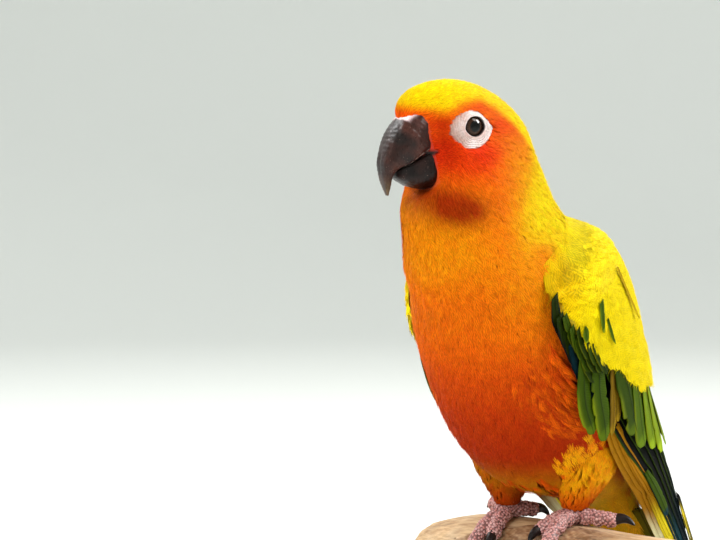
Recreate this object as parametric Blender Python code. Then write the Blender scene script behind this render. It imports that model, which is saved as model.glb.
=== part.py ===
"""A sun conure on a cut perch, life size, as a still display model.

Sizes are in millimetres. The bird is built in its own frame: the origin is the top of the perch midway
between the feet, it faces -Y, +X is its left and +Z is up. metres() puts that frame over the centre of the
stand's base.
"""
import math
import random

import bmesh
import bpy
from mathutils import Matrix, Vector

# Driving dimensions
GAP = 0.3                  # between neighbouring pieces
MM = 0.001
PERCH_TOP = 102.0          # above the floor, so that the tail clears the base
BASE_CENTRE_Y = 12.0       # of the base, behind the feet
BODY_SLOPE = 53.0          # degrees that the body axis falls towards the tail
NECK_BASE = (-33.0, 101.0)  # y and z where the body axis starts
HEAD_YAW = -22.0           # degrees, the head turns to the bird's right
HEAD_TURN_Y = -34.0        # the neck's upright axis
HEAD_Y = -41.0             # centre of the skull before it turns
SEED = 7

# Sections of the torso: distance along the axis, half width, back, widest level, belly
TORSO = (
    (10.0, 26.2, 20.8, -3.0, -34.4),
    (22.0, 28.8, 22.8, -5.0, -39.0),
    (36.0, 29.8, 24.4, -7.0, -42.0),
    (50.0, 29.8, 23.4, -8.0, -44.0),
    (64.0, 28.8, 20.8, -9.0, -43.8),
    (78.0, 25.8, 17.2, -9.0, -39.8),
    (90.0, 21.4, 14.0, -8.0, -32.5),
    (100.0, 17.0, 11.6, -6.0, -24.0),
    (108.0, 13.6, 9.6, -4.2, -16.5),
    (115.0, 11.2, 8.0, -2.8, -12.0),
)
# Sections of the neck and head: back y z, front y z, half width, share of the depth above the widest level,
# share of the head's turn
NECK_AND_HEAD = (
    (-13.4, 111.2, -59.2, 81.6, 24.0, 0.48, 0.12),
    (-15.8, 117.6, -60.6, 90.6, 21.6, 0.50, 0.32),
    (-18.6, 124.6, -61.4, 97.8, 19.7, 0.52, 0.58),
    (-21.8, 132.0, -61.2, 103.0, 18.2, 0.54, 0.82),
    (-29.0, 138.8, -59.6, 106.4, 16.9, 0.56, 1.0),
    (-38.0, 143.4, -57.6, 108.2, 16.0, 0.56, 1.0),
    (-47.0, 144.9, -56.0, 109.0, 15.0, 0.56, 1.0),
    (-55.6, 143.6, -54.8, 109.5, 12.6, 0.55, 1.0),
    (-62.4, 140.4, -53.4, 109.7, 8.3, 0.54, 1.0),
    (-65.0, 135.8, -52.3, 109.9, 6.2, 0.52, 1.0),
)
BODY_SIDES = 28
BODY_FULLNESS = 0.94       # below 1 the sections are squarer than an ellipse
NECK_FROM = 9.0            # section numbers, counted from the tail end, where the cuts pass
HEAD_FROM = 12.4

# The wing lies on this form: distance along the axis, half width, back, widest level, lower radius, and the
# angles from the back where the wing begins and ends
WING_FORM = (
    (10.0, 26.2, 20.8, -3.0, 31.4, 34.0, 94.0),
    (22.0, 28.8, 22.8, -5.0, 34.0, 25.0, 108.0),
    (36.0, 29.8, 24.4, -7.0, 35.0, 17.0, 117.0),
    (50.0, 29.8, 23.4, -8.0, 36.0, 12.0, 117.0),
    (64.0, 29.0, 21.0, -9.0, 35.0, 9.0, 110.0),
    (80.0, 27.0, 18.4, -8.5, 32.0, 8.0, 105.0),
    (96.0, 25.0, 16.4, -6.0, 26.0, 10.0, 101.0),
    (112.0, 23.0, 14.4, -3.5, 20.0, 14.0, 98.0),
    (130.0, 20.6, 12.4, -1.5, 15.0, 20.0, 97.0),
    (148.0, 18.2, 10.6, 0.0, 11.0, 30.0, 96.0),
    (166.0, 16.2, 8.6, 1.0, 8.0, 42.0, 94.0),
)
VANE = 0.7                 # thickness at the shaft
VANE_EDGE = 0.5
VANE_TIP_SPREAD = 0.8      # either way, along the axis
VANE_WIDTH_SPREAD = 0.04   # either way, as a share of the width
LONG_STOPS = (0.0, 0.2, 0.4, 0.62, 0.8, 0.93, 1.0)
SHORT_STOPS = (0.0, 0.4, 0.75, 0.92, 1.0)
# Tiers of the wing's feathers, the uppermost last, each from the front edge to the back edge: tips along the
# axis, depth of the roots in the core, shares of the first and last root, shares of the first and last tip,
# half width, height over the body, roll, stops along the feather
WING_TIERS = (
    ((160.0, 157.0, 150.0, 142.0, 133.0, 124.0, 115.0),
     6.0, (0.95, 0.36), (0.88, 0.20), 4.6, 2.1, 0.85, LONG_STOPS),
    ((76.0, 79.0, 82.0, 86.0, 91.0, 97.0, 102.0),
     7.0, (0.82, 0.10), (0.84, 0.12), 5.2, 4.3, 0.75, LONG_STOPS),
    ((46.0, 52.0, 57.0, 62.0, 68.0, 74.0, 80.0),
     9.0, (0.84, 0.12), (0.86, 0.13), 5.0, 6.4, 0.6, SHORT_STOPS),
)
WING_GAP = 0.55            # to the torso, whose facets stand out a little between its sections
WING_CORE_START = 10.6     # along the axis
WING_CORE_ENDS = (34.0, 62.0)  # at the front edge and at the back edge
CORE_HEIGHT = 8.4
CORE_EDGE = 0.9            # its height at the front and back edges
CORE_SHOULDER = 0.14       # share that its first row is narrower by, on each side
CORE_ROWS = 10
CORE_COLUMNS = 11

# Tail
TAIL_ROOT = 99.0           # along the axis, hidden in the rump
TAIL_LENGTH = 126.0
TAIL_LEVEL = -3.6          # of its middle, across the axis
TAIL_SHARES = (1.0, 0.95, 0.87, 0.78, 0.69, 0.60)
TAIL_STEP = 2.0            # sideways from one feather to the next
TAIL_PITCH = 1.05          # up from one feather to the next that it lies under
TAIL_INNER = 6.0           # reach of a feather's inner and outer vane
TAIL_OUTER = 2.8
TAIL_VANE_ROOT = 126.0     # along the axis, in the tail's own core
TAIL_MIDDLE_RISE = {1: 2.2, -1: 1.1}  # of the two middle feathers over the rest
TAIL_STOPS = (0.0, 0.35, 0.7, 0.88, 0.96, 1.0)
# Sections of the core, as the torso's
TAIL_CORE = (
    (115.3, 11.2, 8.0, -2.8, -12.0),
    (124.0, 10.4, 5.6, -3.0, -10.8),
    (134.0, 9.8, 2.8, -3.4, -9.2),
    (144.0, 8.6, 0.6, -3.6, -7.4),
    (150.0, 7.0, -1.4, -3.8, -6.2),
)

# Bill, in the skull's own plane: ridge forward and up, cutting edge forward and up, half width
UPPER_BILL = (
    (19.8, 135.4, 9.5, 123.8, 8.2), (23.2, 133.0, 13.0, 123.8, 8.1), (26.2, 129.4, 17.2, 122.0, 8.2),
    (28.4, 124.6, 21.6, 119.0, 6.9), (29.7, 119.4, 25.2, 117.5, 5.2), (29.5, 115.2, 26.9, 114.9, 3.6),
    (28.7, 111.9, 27.2, 111.5, 2.1), (27.7, 109.1, 27.3, 109.0, 0.8),
)
LOWER_BILL = (
    (8.5, 123.2, 7.8, 113.4, 7.4), (12.0, 123.2, 11.4, 111.5, 8.2), (16.2, 121.9, 15.6, 110.9, 7.8),
    (20.2, 119.4, 19.6, 111.6, 6.6), (23.3, 117.8, 23.0, 113.0, 4.8), (25.0, 117.0, 24.8, 114.4, 2.7),
)
BILL_SIDES = 16
BILL_FLATNESS = 0.32
NOSTRIL = (22.0, 4.0, 133.6, 1.0)   # forward, sideways, up, radius

# Eyes
EYE_FORWARD = 4.8
EYE_UP = 130.5
EYE_RADIUS = 4.7
EYE_CENTRE = 10.7          # sideways
RING_PROFILE = ((6.6, 11.8), (6.3, 14.4), (3.9, 15.5), (3.3, 15.1), (3.3, 12.0))
RING_SIDES = 18

# Legs
FOOT_X = 11.8
FOOT_Y = {1: 1.0, -1: -4.0}
# height, sideways and forward of the foot, half sizes across and along
THIGH = (
    (33.0, 2.6, -1.0, 8.5, 13.0),
    (24.0, 3.4, -2.0, 9.6, 13.6),
    (16.0, 2.6, -1.6, 8.4, 11.0),
    (10.0, 1.0, -0.8, 6.0, 7.6),
    (6.0, 0.2, -0.2, 4.2, 5.0),
)
THIGH_SIDES = 18
TOE_RADIUS = 2.3
TOE_SIDES = 8
CLAW_GAP = 0.5             # its end and the toe's are set at a slight angle
# name, way it points from the foot (degrees, 0 is forward, + is outward), length to the claw, claw length
TOES = (
    ("inner_front", -14.0, 16.0, 6.0),
    ("outer_front", 6.0, 21.0, 6.8),
    ("outer_back", 128.0, 18.0, 6.4),
    ("inner_back", 205.0, 11.0, 5.6),
)
OUTER_BACK_LEFT = (104.0, 14.6)     # angle and length: the left foot's outer back toe lies along the perch

# Perch and stand
PERCH_RADIUS = 20.5
PERCH_Y = -1.0
PERCH_ENDS = (-46.0, 50.0)
PERCH_SIDES = 22
ROD_RADIUS = 5.0
ROD_DEPTH = 10.0           # in the perch
ROD_SOCKET = 6.0           # in the base
BASE_LENGTH = 150.0
BASE_WIDTH = 118.0
BASE_HEIGHT = 10.0
BASE_ROUND = 2.5

AXIS = Vector((0.0, math.cos(math.radians(BODY_SLOPE)), -math.sin(math.radians(BODY_SLOPE))))
BACK = Vector((0.0, math.sin(math.radians(BODY_SLOPE)), math.cos(math.radians(BODY_SLOPE))))
SIDE = Vector((1.0, 0.0, 0.0))


# Curves and frames

def metres(point):
    """A point of the bird's frame, in the part's own frame and unit."""
    return Vector((point[0], point[1] - BASE_CENTRE_Y, point[2] + PERCH_TOP)) * MM


def along(rows, place):
    """Row at a fractional place in a list of rows, on a smooth curve through them."""
    last = len(rows) - 1
    place = min(max(place, 0.0), last)
    i = min(int(place), last - 1)
    t = place - i
    a = rows[max(i - 1, 0)]
    b = rows[i]
    c = rows[i + 1]
    d = rows[min(i + 2, last)]
    return [
        0.5 * (2 * q + (r - p) * t + (2 * p - 5 * q + 4 * r - s) * t * t + (3 * q - p - 3 * r + s) * t ** 3)
        for p, q, r, s in zip(a, b, c, d)
    ]


def at_distance(rows, distance):
    """Row of a list whose first column is a distance, at that distance."""
    if distance <= rows[0][0]:
        return list(rows[0])
    for i in range(len(rows) - 1):
        if distance <= rows[i + 1][0]:
            return along(rows, i + (distance - rows[i][0]) / (rows[i + 1][0] - rows[i][0]))
    return list(rows[-1])


def body_place(distance, across, level):
    """A point by its distance along the body axis, sideways and towards the back."""
    start = Vector((0.0, NECK_BASE[0], NECK_BASE[1]))
    return start + AXIS * distance + SIDE * across + BACK * level


def turned(point, share=1.0):
    """A point of the head, turned about the neck."""
    turn = Matrix.Rotation(math.radians(HEAD_YAW * share), 3, "Z")
    pivot = Vector((0.0, HEAD_TURN_Y, 0.0))
    return turn @ (Vector(point) - pivot) + pivot


def head_place(forward, left, up):
    return turned((left, HEAD_Y - forward, up))


# Mesh helpers

def material(name, colour, roughness, metallic=0.0):
    made = bpy.data.materials.new(name)
    made.use_nodes = True
    shader = made.node_tree.nodes["Principled BSDF"]
    shader.inputs["Base Color"].default_value = (*colour, 1.0)
    shader.inputs["Roughness"].default_value = roughness
    shader.inputs["Metallic"].default_value = metallic
    made.diffuse_color = (*colour, 1.0)
    return made


def solid(name, points, faces, finish=None):
    """An object from points of the bird's frame, with its faces pointing out."""
    mesh = bpy.data.meshes.new(name)
    mesh.from_pydata([metres(p) for p in points], [], faces)
    work = bmesh.new()
    work.from_mesh(mesh)
    bmesh.ops.recalc_face_normals(work, faces=work.faces)
    work.to_mesh(mesh)
    work.free()
    made = bpy.data.objects.new(name, mesh)
    bpy.context.scene.collection.objects.link(made)
    if finish:
        mesh.materials.append(finish)
    return made


def loft(name, rings, finish=None):
    """A closed body through rings of the same number of points, with flat ends."""
    sides = len(rings[0])
    points = [p for ring in rings for p in ring]
    faces = []
    for i in range(len(rings) - 1):
        for j in range(sides):
            k = (j + 1) % sides
            faces.append((i * sides + j, i * sides + k, (i + 1) * sides + k, (i + 1) * sides + j))
    faces.append(tuple(range(sides)))
    faces.append(tuple(range(len(points) - sides, len(points))))
    return solid(name, points, faces, finish)


def plate(name, upper, lower, finish=None):
    """A closed plate between two grids of points, split into triangles alike on both faces."""
    rows = len(upper)
    columns = len(upper[0])
    points = [p for row in upper for p in row] + [p for row in lower for p in row]
    under = rows * columns
    faces = []

    def quad(a, b, c, d):
        faces.append((a, b, c))
        faces.append((a, c, d))

    for i in range(rows - 1):
        for j in range(columns - 1):
            a = i * columns + j
            quad(a, a + 1, a + columns + 1, a + columns)
            b = under + a
            faces.append((b, b + columns + 1, b + 1))
            faces.append((b, b + columns, b + columns + 1))
    for i in range(rows - 1):
        for j in (0, columns - 1):
            a = i * columns + j
            quad(a, a + columns, under + a + columns, under + a)
    for i in (0, rows - 1):
        for j in range(columns - 1):
            a = i * columns + j
            quad(a, a + 1, under + a + 1, under + a)
    return solid(name, points, faces, finish)


def with_boolean(target, others, operation, solver="EXACT"):
    """Joins or cuts a body with others, which are then removed, and keeps its largest closed surface."""
    group = bpy.data.collections.new("tools")
    bpy.context.scene.collection.children.link(group)
    for other in others:
        bpy.context.scene.collection.objects.unlink(other)
        group.objects.link(other)
    change = target.modifiers.new("change", "BOOLEAN")
    change.operation = operation
    change.operand_type = "COLLECTION"
    change.collection = group
    change.solver = solver
    bpy.context.view_layer.update()
    seen = target.evaluated_get(bpy.context.evaluated_depsgraph_get())
    mesh = bpy.data.meshes.new_from_object(seen)
    target.modifiers.clear()
    target.data = mesh
    for other in others:
        bpy.data.objects.remove(other)
    bpy.data.collections.remove(group)
    keep_largest(mesh)
    return target


def keep_largest(mesh):
    work = bmesh.new()
    work.from_mesh(mesh)
    bmesh.ops.remove_doubles(work, verts=work.verts, dist=0.000002)
    bmesh.ops.dissolve_degenerate(work, edges=work.edges, dist=0.000002)
    bmesh.ops.triangulate(work, faces=work.faces)
    left = set(work.faces)
    pieces = []
    while left:
        piece = {left.pop()}
        edge = list(piece)
        while edge:
            face = edge.pop()
            for line in face.edges:
                for other in line.link_faces:
                    if other in left:
                        left.remove(other)
                        piece.add(other)
                        edge.append(other)
        pieces.append(piece)
    pieces.sort(key=lambda piece: sum(face.calc_area() for face in piece))
    scraps = [face for piece in pieces[:-1] for face in piece]
    if scraps:
        bmesh.ops.delete(work, geom=scraps, context="FACES")
        bmesh.ops.delete(work, geom=[v for v in work.verts if not v.link_faces], context="VERTS")
    work.to_mesh(mesh)
    work.free()


def smooth(made, angle=40.0):
    made.data.shade_smooth()
    made.data.set_sharp_from_angle(angle=math.radians(angle))
    return made


# Body, neck and head

def body_sections():
    """All sections from the tail end to the face, each as back y z, front y z, half width, share, turn."""
    rows = []
    for distance, half, back, widest, belly in reversed(TORSO):
        top = body_place(distance, 0.0, back)
        low = body_place(distance, 0.0, belly)
        rows.append((top.y, top.z, low.y, low.z, half, (back - widest) / (back - belly), 0.0))
    return rows + list(NECK_AND_HEAD)


def body_ring(rows, place, shift=0.0, grow=0.0):
    """One section as points, moved along the body by shift and made larger by grow."""
    back_y, back_z, front_y, front_z, half, share, turn = along(rows, place)
    back = Vector((0.0, back_y, back_z))
    front = Vector((0.0, front_y, front_z))
    way = (back - front).normalized()
    depth = (back - front).length
    middle = back - way * depth * share
    normal = way.cross(SIDE).normalized()
    points = []
    for i in range(BODY_SIDES):
        angle = math.tau * i / BODY_SIDES
        reach = depth * share if math.cos(angle) > 0 else depth * (1.0 - share)
        out = math.copysign(abs(math.sin(angle)) ** BODY_FULLNESS, math.sin(angle))
        point = middle + way * (reach + grow) * math.cos(angle) + SIDE * (half + grow) * out
        points.append(turned(point + normal * shift, turn))
    return points


def body_length(name, first, last, rings, finish=None, grow=0.0):
    """The stretch of the body between two places, with half the gap taken off at its ends."""
    rows = body_sections()
    stretch = []
    for i in range(rings + 1):
        place = first + (last - first) * i / rings
        shift = 0.0
        if i == 0:
            shift = -GAP / 2
        if i == rings:
            shift = GAP / 2
        stretch.append(body_ring(rows, place, shift, grow))
    return loft(name, stretch, finish)


def bill_rings(rows, count, flat_side, grow=0.0):
    """Rings of a bill half, each from its top line to its bottom line, flat where it meets the other half."""
    rings = []
    for i in range(count):
        place = (len(rows) - 1) * i / (count - 1)
        ridge_forward, ridge_up, edge_forward, edge_up, half = along(rows, place)
        ridge = Vector((ridge_forward, ridge_up))
        edge = Vector((edge_forward, edge_up))
        middle = (ridge + edge) / 2
        reach = (ridge - edge).length / 2 + grow
        way = (ridge - edge).normalized()
        ring = []
        for j in range(BILL_SIDES):
            angle = math.tau * j / BILL_SIDES
            flat = math.cos(angle) * flat_side > 0
            up = math.copysign(abs(math.cos(angle)) ** (BILL_FLATNESS if flat else 0.95), math.cos(angle))
            out = math.copysign(abs(math.sin(angle)) ** (0.5 if flat else 0.9), math.sin(angle))
            spot = middle + way * reach * up
            ring.append(head_place(spot.x, (half + grow) * out, spot.y))
        rings.append(ring)
    return rings


def ball(name, centre, radius, finish=None, rings=8, sides=14):
    """A round body with its poles sideways."""
    points = []
    faces = []
    for i in range(1, rings):
        tilt = math.pi * i / rings
        for j in range(sides):
            angle = math.tau * j / sides
            flat = radius * math.sin(tilt)
            points.append(centre + Vector((
                radius * math.cos(tilt), flat * math.cos(angle), flat * math.sin(angle))))
    for i in range(rings - 2):
        for j in range(sides):
            k = (j + 1) % sides
            faces.append((i * sides + j, i * sides + k, (i + 1) * sides + k, (i + 1) * sides + j))
    first = len(points)
    points.append(centre + Vector((radius, 0.0, 0.0)))
    points.append(centre - Vector((radius, 0.0, 0.0)))
    last_ring = (rings - 2) * sides
    for j in range(sides):
        k = (j + 1) % sides
        faces.append((j, k, first))
        faces.append((last_ring + j, last_ring + k, first + 1))
    return solid(name, points, faces, finish)


def eye_ring(name, side):
    """The bare ring and the lids, turned from a profile round the eye's own axis."""
    points = []
    faces = []
    count = len(RING_PROFILE)
    for i in range(RING_SIDES):
        angle = math.tau * i / RING_SIDES
        rear = 1.0 - 0.12 * math.cos(angle)
        for radius, out in RING_PROFILE:
            wide = radius * (rear if radius > 4.0 else 1.0)
            points.append(head_place(
                EYE_FORWARD + wide * math.cos(angle), side * out, EYE_UP + 0.96 * wide * math.sin(angle)))
    for i in range(RING_SIDES):
        k = (i + 1) % RING_SIDES
        for j in range(count):
            m = (j + 1) % count
            faces.append((i * count + j, k * count + j, k * count + m, i * count + m))
    return solid(name, points, faces)


def make_head(skin, horn, wet):
    head = body_length("head", HEAD_FROM, len(body_sections()) - 1.0, 14, skin)
    with_boolean(head, [eye_ring("ring", 1), eye_ring("ring", -1)], "UNION")
    cutters = [
        loft("cutter", bill_rings(UPPER_BILL, 13, -1, GAP)),
        loft("cutter", bill_rings(LOWER_BILL, 9, 1, GAP)),
    ]
    for side in (1, -1):
        centre = head_place(EYE_FORWARD, side * EYE_CENTRE, EYE_UP)
        cutters.append(ball("cutter", centre, EYE_RADIUS + GAP))
        smooth(ball("eye_left" if side > 0 else "eye_right", centre, EYE_RADIUS, wet))
    smooth(with_boolean(head, cutters, "DIFFERENCE"))
    upper = loft("bill_upper", bill_rings(UPPER_BILL, 13, -1), horn)
    pits = []
    forward, out, up, radius = NOSTRIL
    for side in (1, -1):
        pits.append(ball("cutter", head_place(forward, side * out, up), radius, None, 5, 8))
    smooth(with_boolean(upper, pits, "DIFFERENCE"))
    smooth(loft("bill_lower", bill_rings(LOWER_BILL, 9, 1), horn))


# Wings

def wing_place(side, distance, share, height):
    """A point on the folded wing: along the axis, share from the back edge to the front edge, above the body."""
    _, half, back, widest, low, first, last = at_distance(WING_FORM, distance)
    angle = math.radians(first + (last - first) * share)
    reach = (back - widest) if math.cos(angle) > 0 else low
    across = (half + height) * math.sin(angle) ** BODY_FULLNESS
    level = widest + (reach + height) * math.cos(angle)
    return body_place(distance, side * across, level)


def wing_width(distance):
    """Length of the wing's arc at a distance."""
    steps = 8
    spots = [wing_place(1, distance, i / steps, 0.0) for i in range(steps + 1)]
    return sum((spots[i + 1] - spots[i]).length for i in range(steps))


def core_height(share):
    """Height of the wing's own body over the torso, low at the front and back edges."""
    swell = math.sqrt(max(0.0, 1.0 - 0.96 * abs(2.0 * share - 1.0) ** 4))
    return CORE_EDGE + (CORE_HEIGHT - CORE_EDGE) * swell


def wing_core(name, side, finish):
    """The wing's own body, under the small coverts, which carries the roots."""
    upper = []
    lower = []
    for i in range(CORE_ROWS):
        t = i / (CORE_ROWS - 1)
        rise = math.sin(min(t * 3.0, 1.0) * math.pi / 2)
        inset = CORE_SHOULDER * (1.0 - rise)
        row = []
        under = []
        for j in range(CORE_COLUMNS):
            share = j / (CORE_COLUMNS - 1)
            end = WING_CORE_ENDS[1] + (WING_CORE_ENDS[0] - WING_CORE_ENDS[1]) * share
            distance = WING_CORE_START + (end - WING_CORE_START) * t
            place = inset + (1.0 - 2.0 * inset) * share
            fall = 1.0 - 0.10 * max(0.0, t - 0.7) / 0.3
            height = max(CORE_EDGE, core_height(share) * rise * fall)
            row.append(wing_place(side, distance, place, height))
            under.append(wing_place(side, distance, place, WING_GAP))
        upper.append(row)
        lower.append(under)
    return plate(name, upper, lower, finish)


def wing_vane(side, root, tip, share_root, share_tip, half, height, roll, stops):
    """One feather of the wing: its far edge is raised by roll, its near edge lowered."""
    upper = []
    lower = []
    for t in stops:
        distance = root + (tip - root) * t
        share = share_root + (share_tip - share_root) * t
        width = wing_width(distance)
        round_tip = math.sqrt(max(0.04, 1.0 - max(0.0, (t - 0.72) / 0.28) ** 2))
        reach = half * (0.72 + 0.28 * min(1.0, t / 0.35)) * round_tip
        row = []
        under = []
        for lateral in (-1.0, 0.0, 1.0):
            place = share + lateral * reach / width
            middle = height + roll * lateral * reach / half
            thick = VANE if lateral == 0.0 else VANE_EDGE
            row.append(wing_place(side, distance, place, middle + thick / 2))
            under.append(wing_place(side, distance, place, middle - thick / 2))
        upper.append(row)
        lower.append(under)
    return plate("vane", upper, lower)


def wing_tier(side, tips, root_depth, shares, tip_shares, half, height, roll, stops):
    """Feathers side by side, the ones nearer the back lying on the ones nearer the front edge."""
    made = []
    for i, tip in enumerate(tips):
        t = i / (len(tips) - 1)
        share = shares[0] + (shares[1] - shares[0]) * t
        end = WING_CORE_ENDS[1] + (WING_CORE_ENDS[0] - WING_CORE_ENDS[1]) * share
        tip_share = tip_shares[0] + (tip_shares[1] - tip_shares[0]) * t
        tip += random.uniform(-VANE_TIP_SPREAD, VANE_TIP_SPREAD)
        wide = half * random.uniform(1.0 - VANE_WIDTH_SPREAD, 1.0 + VANE_WIDTH_SPREAD)
        made.append(wing_vane(side, end - root_depth, tip, share, tip_share, wide, height, roll, stops))
    return made


def make_wing(name, side, finish):
    core = wing_core(name, side, finish)
    vanes = []
    for tier in WING_TIERS:
        vanes += wing_tier(side, *tier)
    return smooth(with_boolean(core, vanes, "UNION"), 30.0)


# Tail

def tail_vane(side, root, tip, inner, outer, level, roll, centre):
    """One tail feather between an inner and an outer edge, raised outward by roll."""
    upper = []
    lower = []
    for t in TAIL_STOPS:
        distance = root + (tip - root) * t
        point = math.sqrt(max(0.03, 1.0 - max(0.0, (t - 0.6) / 0.4) ** 2))
        row = []
        under = []
        for place in (inner, centre, outer):
            across = centre + (place - centre) * point
            rise = level + roll * (across - centre)
            thick = VANE if place == centre else VANE_EDGE
            row.append(body_place(distance, side * across, rise + thick / 2))
            under.append(body_place(distance, side * across, rise - thick / 2))
        upper.append(row)
        lower.append(under)
    return plate("vane", upper, lower)


def tail_core(name, finish):
    """Root of the tail, as the torso's end and narrower behind it."""
    rings = []
    sides = 20
    for distance, half, back, widest, belly in TAIL_CORE:
        ring = []
        for i in range(sides):
            angle = math.tau * i / sides
            reach = back - widest if math.cos(angle) > 0 else widest - belly
            ring.append(body_place(
                distance, half * math.sin(angle), widest + reach * math.cos(angle)))
        rings.append(ring)
    return loft(name, rings, finish)


def make_tail(finish):
    core = tail_core("tail", finish)
    vanes = []
    for i, share in enumerate(TAIL_SHARES):
        tip = TAIL_ROOT + TAIL_LENGTH * share
        for side in (1, -1):
            if i == 0:
                level = TAIL_LEVEL + TAIL_MIDDLE_RISE[side]
                vanes.append(tail_vane(side, TAIL_VANE_ROOT, tip, -3.0, 6.6, level, 0.0, 1.8))
            else:
                centre = 2.4 + TAIL_STEP * i
                inner = max(0.6, centre - TAIL_INNER)
                outer = centre + TAIL_OUTER
                level = TAIL_LEVEL - 0.2
                roll = TAIL_PITCH / TAIL_STEP
                vanes.append(tail_vane(side, TAIL_VANE_ROOT, tip, inner, outer, level, roll, centre))
    return smooth(with_boolean(core, vanes, "UNION"), 30.0)


# Legs and feet

def make_thigh(name, side, finish):
    rings = []
    for height, out, back, half, long in THIGH:
        ring = []
        for i in range(THIGH_SIDES):
            angle = math.tau * i / THIGH_SIDES
            ring.append(Vector((
                side * (FOOT_X + out) + half * math.cos(angle),
                FOOT_Y[side] - back + long * math.sin(angle),
                height)))
        rings.append(ring)
    thigh = loft(name, rings, finish)
    cutter = body_length("cutter", 0.0, 11.0, 22, None, GAP)
    return smooth(with_boolean(thigh, [cutter], "DIFFERENCE"))


def tube(name, path, radii, sides, finish=None):
    """A round body along a path, with its own radius at each point."""
    rings = []
    for i, (spot, radius) in enumerate(zip(path, radii)):
        before = path[max(i - 1, 0)]
        after = path[min(i + 1, len(path) - 1)]
        way = (after - before).normalized()
        across = way.cross(SIDE if abs(way.x) < 0.9 else Vector((0.0, 1.0, 0.0))).normalized()
        other = way.cross(across)
        rings.append([
            spot + (across * math.cos(math.tau * j / sides) + other * math.sin(math.tau * j / sides)) * radius
            for j in range(sides)
        ])
    return loft(name, rings, finish)


def on_perch(x, way, travelled, height):
    """A point over the perch: travelled over its round top from the foot's middle, at a height above it."""
    turn = travelled / (PERCH_RADIUS + height)
    reach = PERCH_RADIUS + height
    return Vector((x, PERCH_Y - reach * math.sin(turn) * way, -PERCH_RADIUS + reach * math.cos(turn)))


def toe_path(side, angle, first, last, steps):
    """Middle line of one toe between two distances from the foot, over the round of the perch."""
    out = math.sin(math.radians(angle)) * side
    ahead = math.cos(math.radians(angle))
    start = PERCH_Y - FOOT_Y[side]
    path = []
    for i in range(steps + 1):
        travelled = first + (last - first) * i / steps
        height = GAP + TOE_RADIUS + 0.3
        x = side * FOOT_X + out * travelled
        path.append(on_perch(x, 1.0, start + ahead * travelled, height))
    return path


def make_foot(name, side, skin, horn):
    foot_top = Vector((side * FOOT_X, FOOT_Y[side], THIGH[-1][0] - GAP))
    foot_low = Vector((side * FOOT_X, FOOT_Y[side], 3.2))
    leg = tube(name, [foot_top, (foot_top + foot_low) / 2, foot_low], [3.2, 3.4, 2.9], 12, skin)
    toes = []
    for label, angle, length, claw in TOES:
        if label == "outer_back" and side > 0:
            angle, length = OUTER_BACK_LEFT
        path = toe_path(side, angle, 0.0, length, 7)
        radii = [TOE_RADIUS * (1.12 - 0.24 * i / 7 + 0.09 * math.cos(math.pi * i)) for i in range(8)]
        toes.append(tube("toe", path, radii, TOE_SIDES))
        count = 4
        spots = toe_path(side, angle, length + CLAW_GAP, length + claw, count)
        line = []
        for i, spot in enumerate(spots):
            t = i / count
            outward = (spot - Vector((spot.x, PERCH_Y, -PERCH_RADIUS))).normalized()
            line.append(spot + outward * (0.9 * math.sin(math.pi * t) - 0.9 * t))
        sizes = [1.35 * (1.0 - (i / count) ** 1.4) + 0.25 for i in range(count + 1)]
        smooth(tube(f"claw_{label}_{'left' if side > 0 else 'right'}", line, sizes, 7, horn))
    return smooth(with_boolean(leg, toes, "UNION"))


# Perch and stand

def make_perch(finish):
    start, end = PERCH_ENDS
    count = 14
    rings = []
    for i in range(count + 1):
        x = start + (end - start) * i / count
        fall = max(0.0, (-20.0 - x) / 22.0) ** 1.6
        radius = PERCH_RADIUS - 0.4 * (1 - math.cos((x - 2.0) / 13.0)) * min(1.0, abs(x) / 30.0) - 3.0 * fall
        ring = []
        for j in range(PERCH_SIDES):
            angle = math.tau * j / PERCH_SIDES
            wave = 1.0 + 0.018 * math.sin(3 * angle + 0.05 * x) * (1.0 if math.sin(angle) < 0.3 else 0.0)
            ring.append(Vector((
                x,
                PERCH_Y + radius * wave * math.cos(angle),
                -PERCH_RADIUS - 1.5 * fall + radius * wave * math.sin(angle))))
        rings.append(ring)
    perch = loft("perch_branch", rings, finish)
    bore = round_post("cutter", ROD_RADIUS + GAP, -2 * PERCH_RADIUS - 5.0, -2 * PERCH_RADIUS + ROD_DEPTH)
    return smooth(with_boolean(perch, [bore], "DIFFERENCE"))


def round_post(name, radius, low, high, finish=None, sides=24):
    rings = []
    for height in (low, high):
        rings.append([
            Vector((radius * math.cos(math.tau * i / sides), PERCH_Y + radius * math.sin(math.tau * i / sides), height))
            for i in range(sides)
        ])
    return loft(name, rings, finish)


def make_stand(wood, steel):
    floor = -PERCH_TOP
    rings = []
    sides = 48
    for height, inset in (
            (0.0, 0.6), (0.6, 0.0), (BASE_HEIGHT - BASE_ROUND, 0.0),
            (BASE_HEIGHT - 0.3 * BASE_ROUND, 0.3 * BASE_ROUND), (BASE_HEIGHT, BASE_ROUND)):
        rings.append([
            Vector((
                (BASE_WIDTH / 2 - inset) * math.cos(math.tau * i / sides),
                BASE_CENTRE_Y + (BASE_LENGTH / 2 - inset) * math.sin(math.tau * i / sides),
                floor + height))
            for i in range(sides)
        ])
    base = loft("stand_base", rings, wood)
    socket = round_post(
        "cutter", ROD_RADIUS + GAP, floor + BASE_HEIGHT - ROD_SOCKET, floor + BASE_HEIGHT + 5.0)
    smooth(with_boolean(base, [socket], "DIFFERENCE"))
    low = floor + BASE_HEIGHT - ROD_SOCKET + GAP
    smooth(round_post("stand_rod", ROD_RADIUS, low, -2 * PERCH_RADIUS + ROD_DEPTH - GAP, steel))


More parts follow.
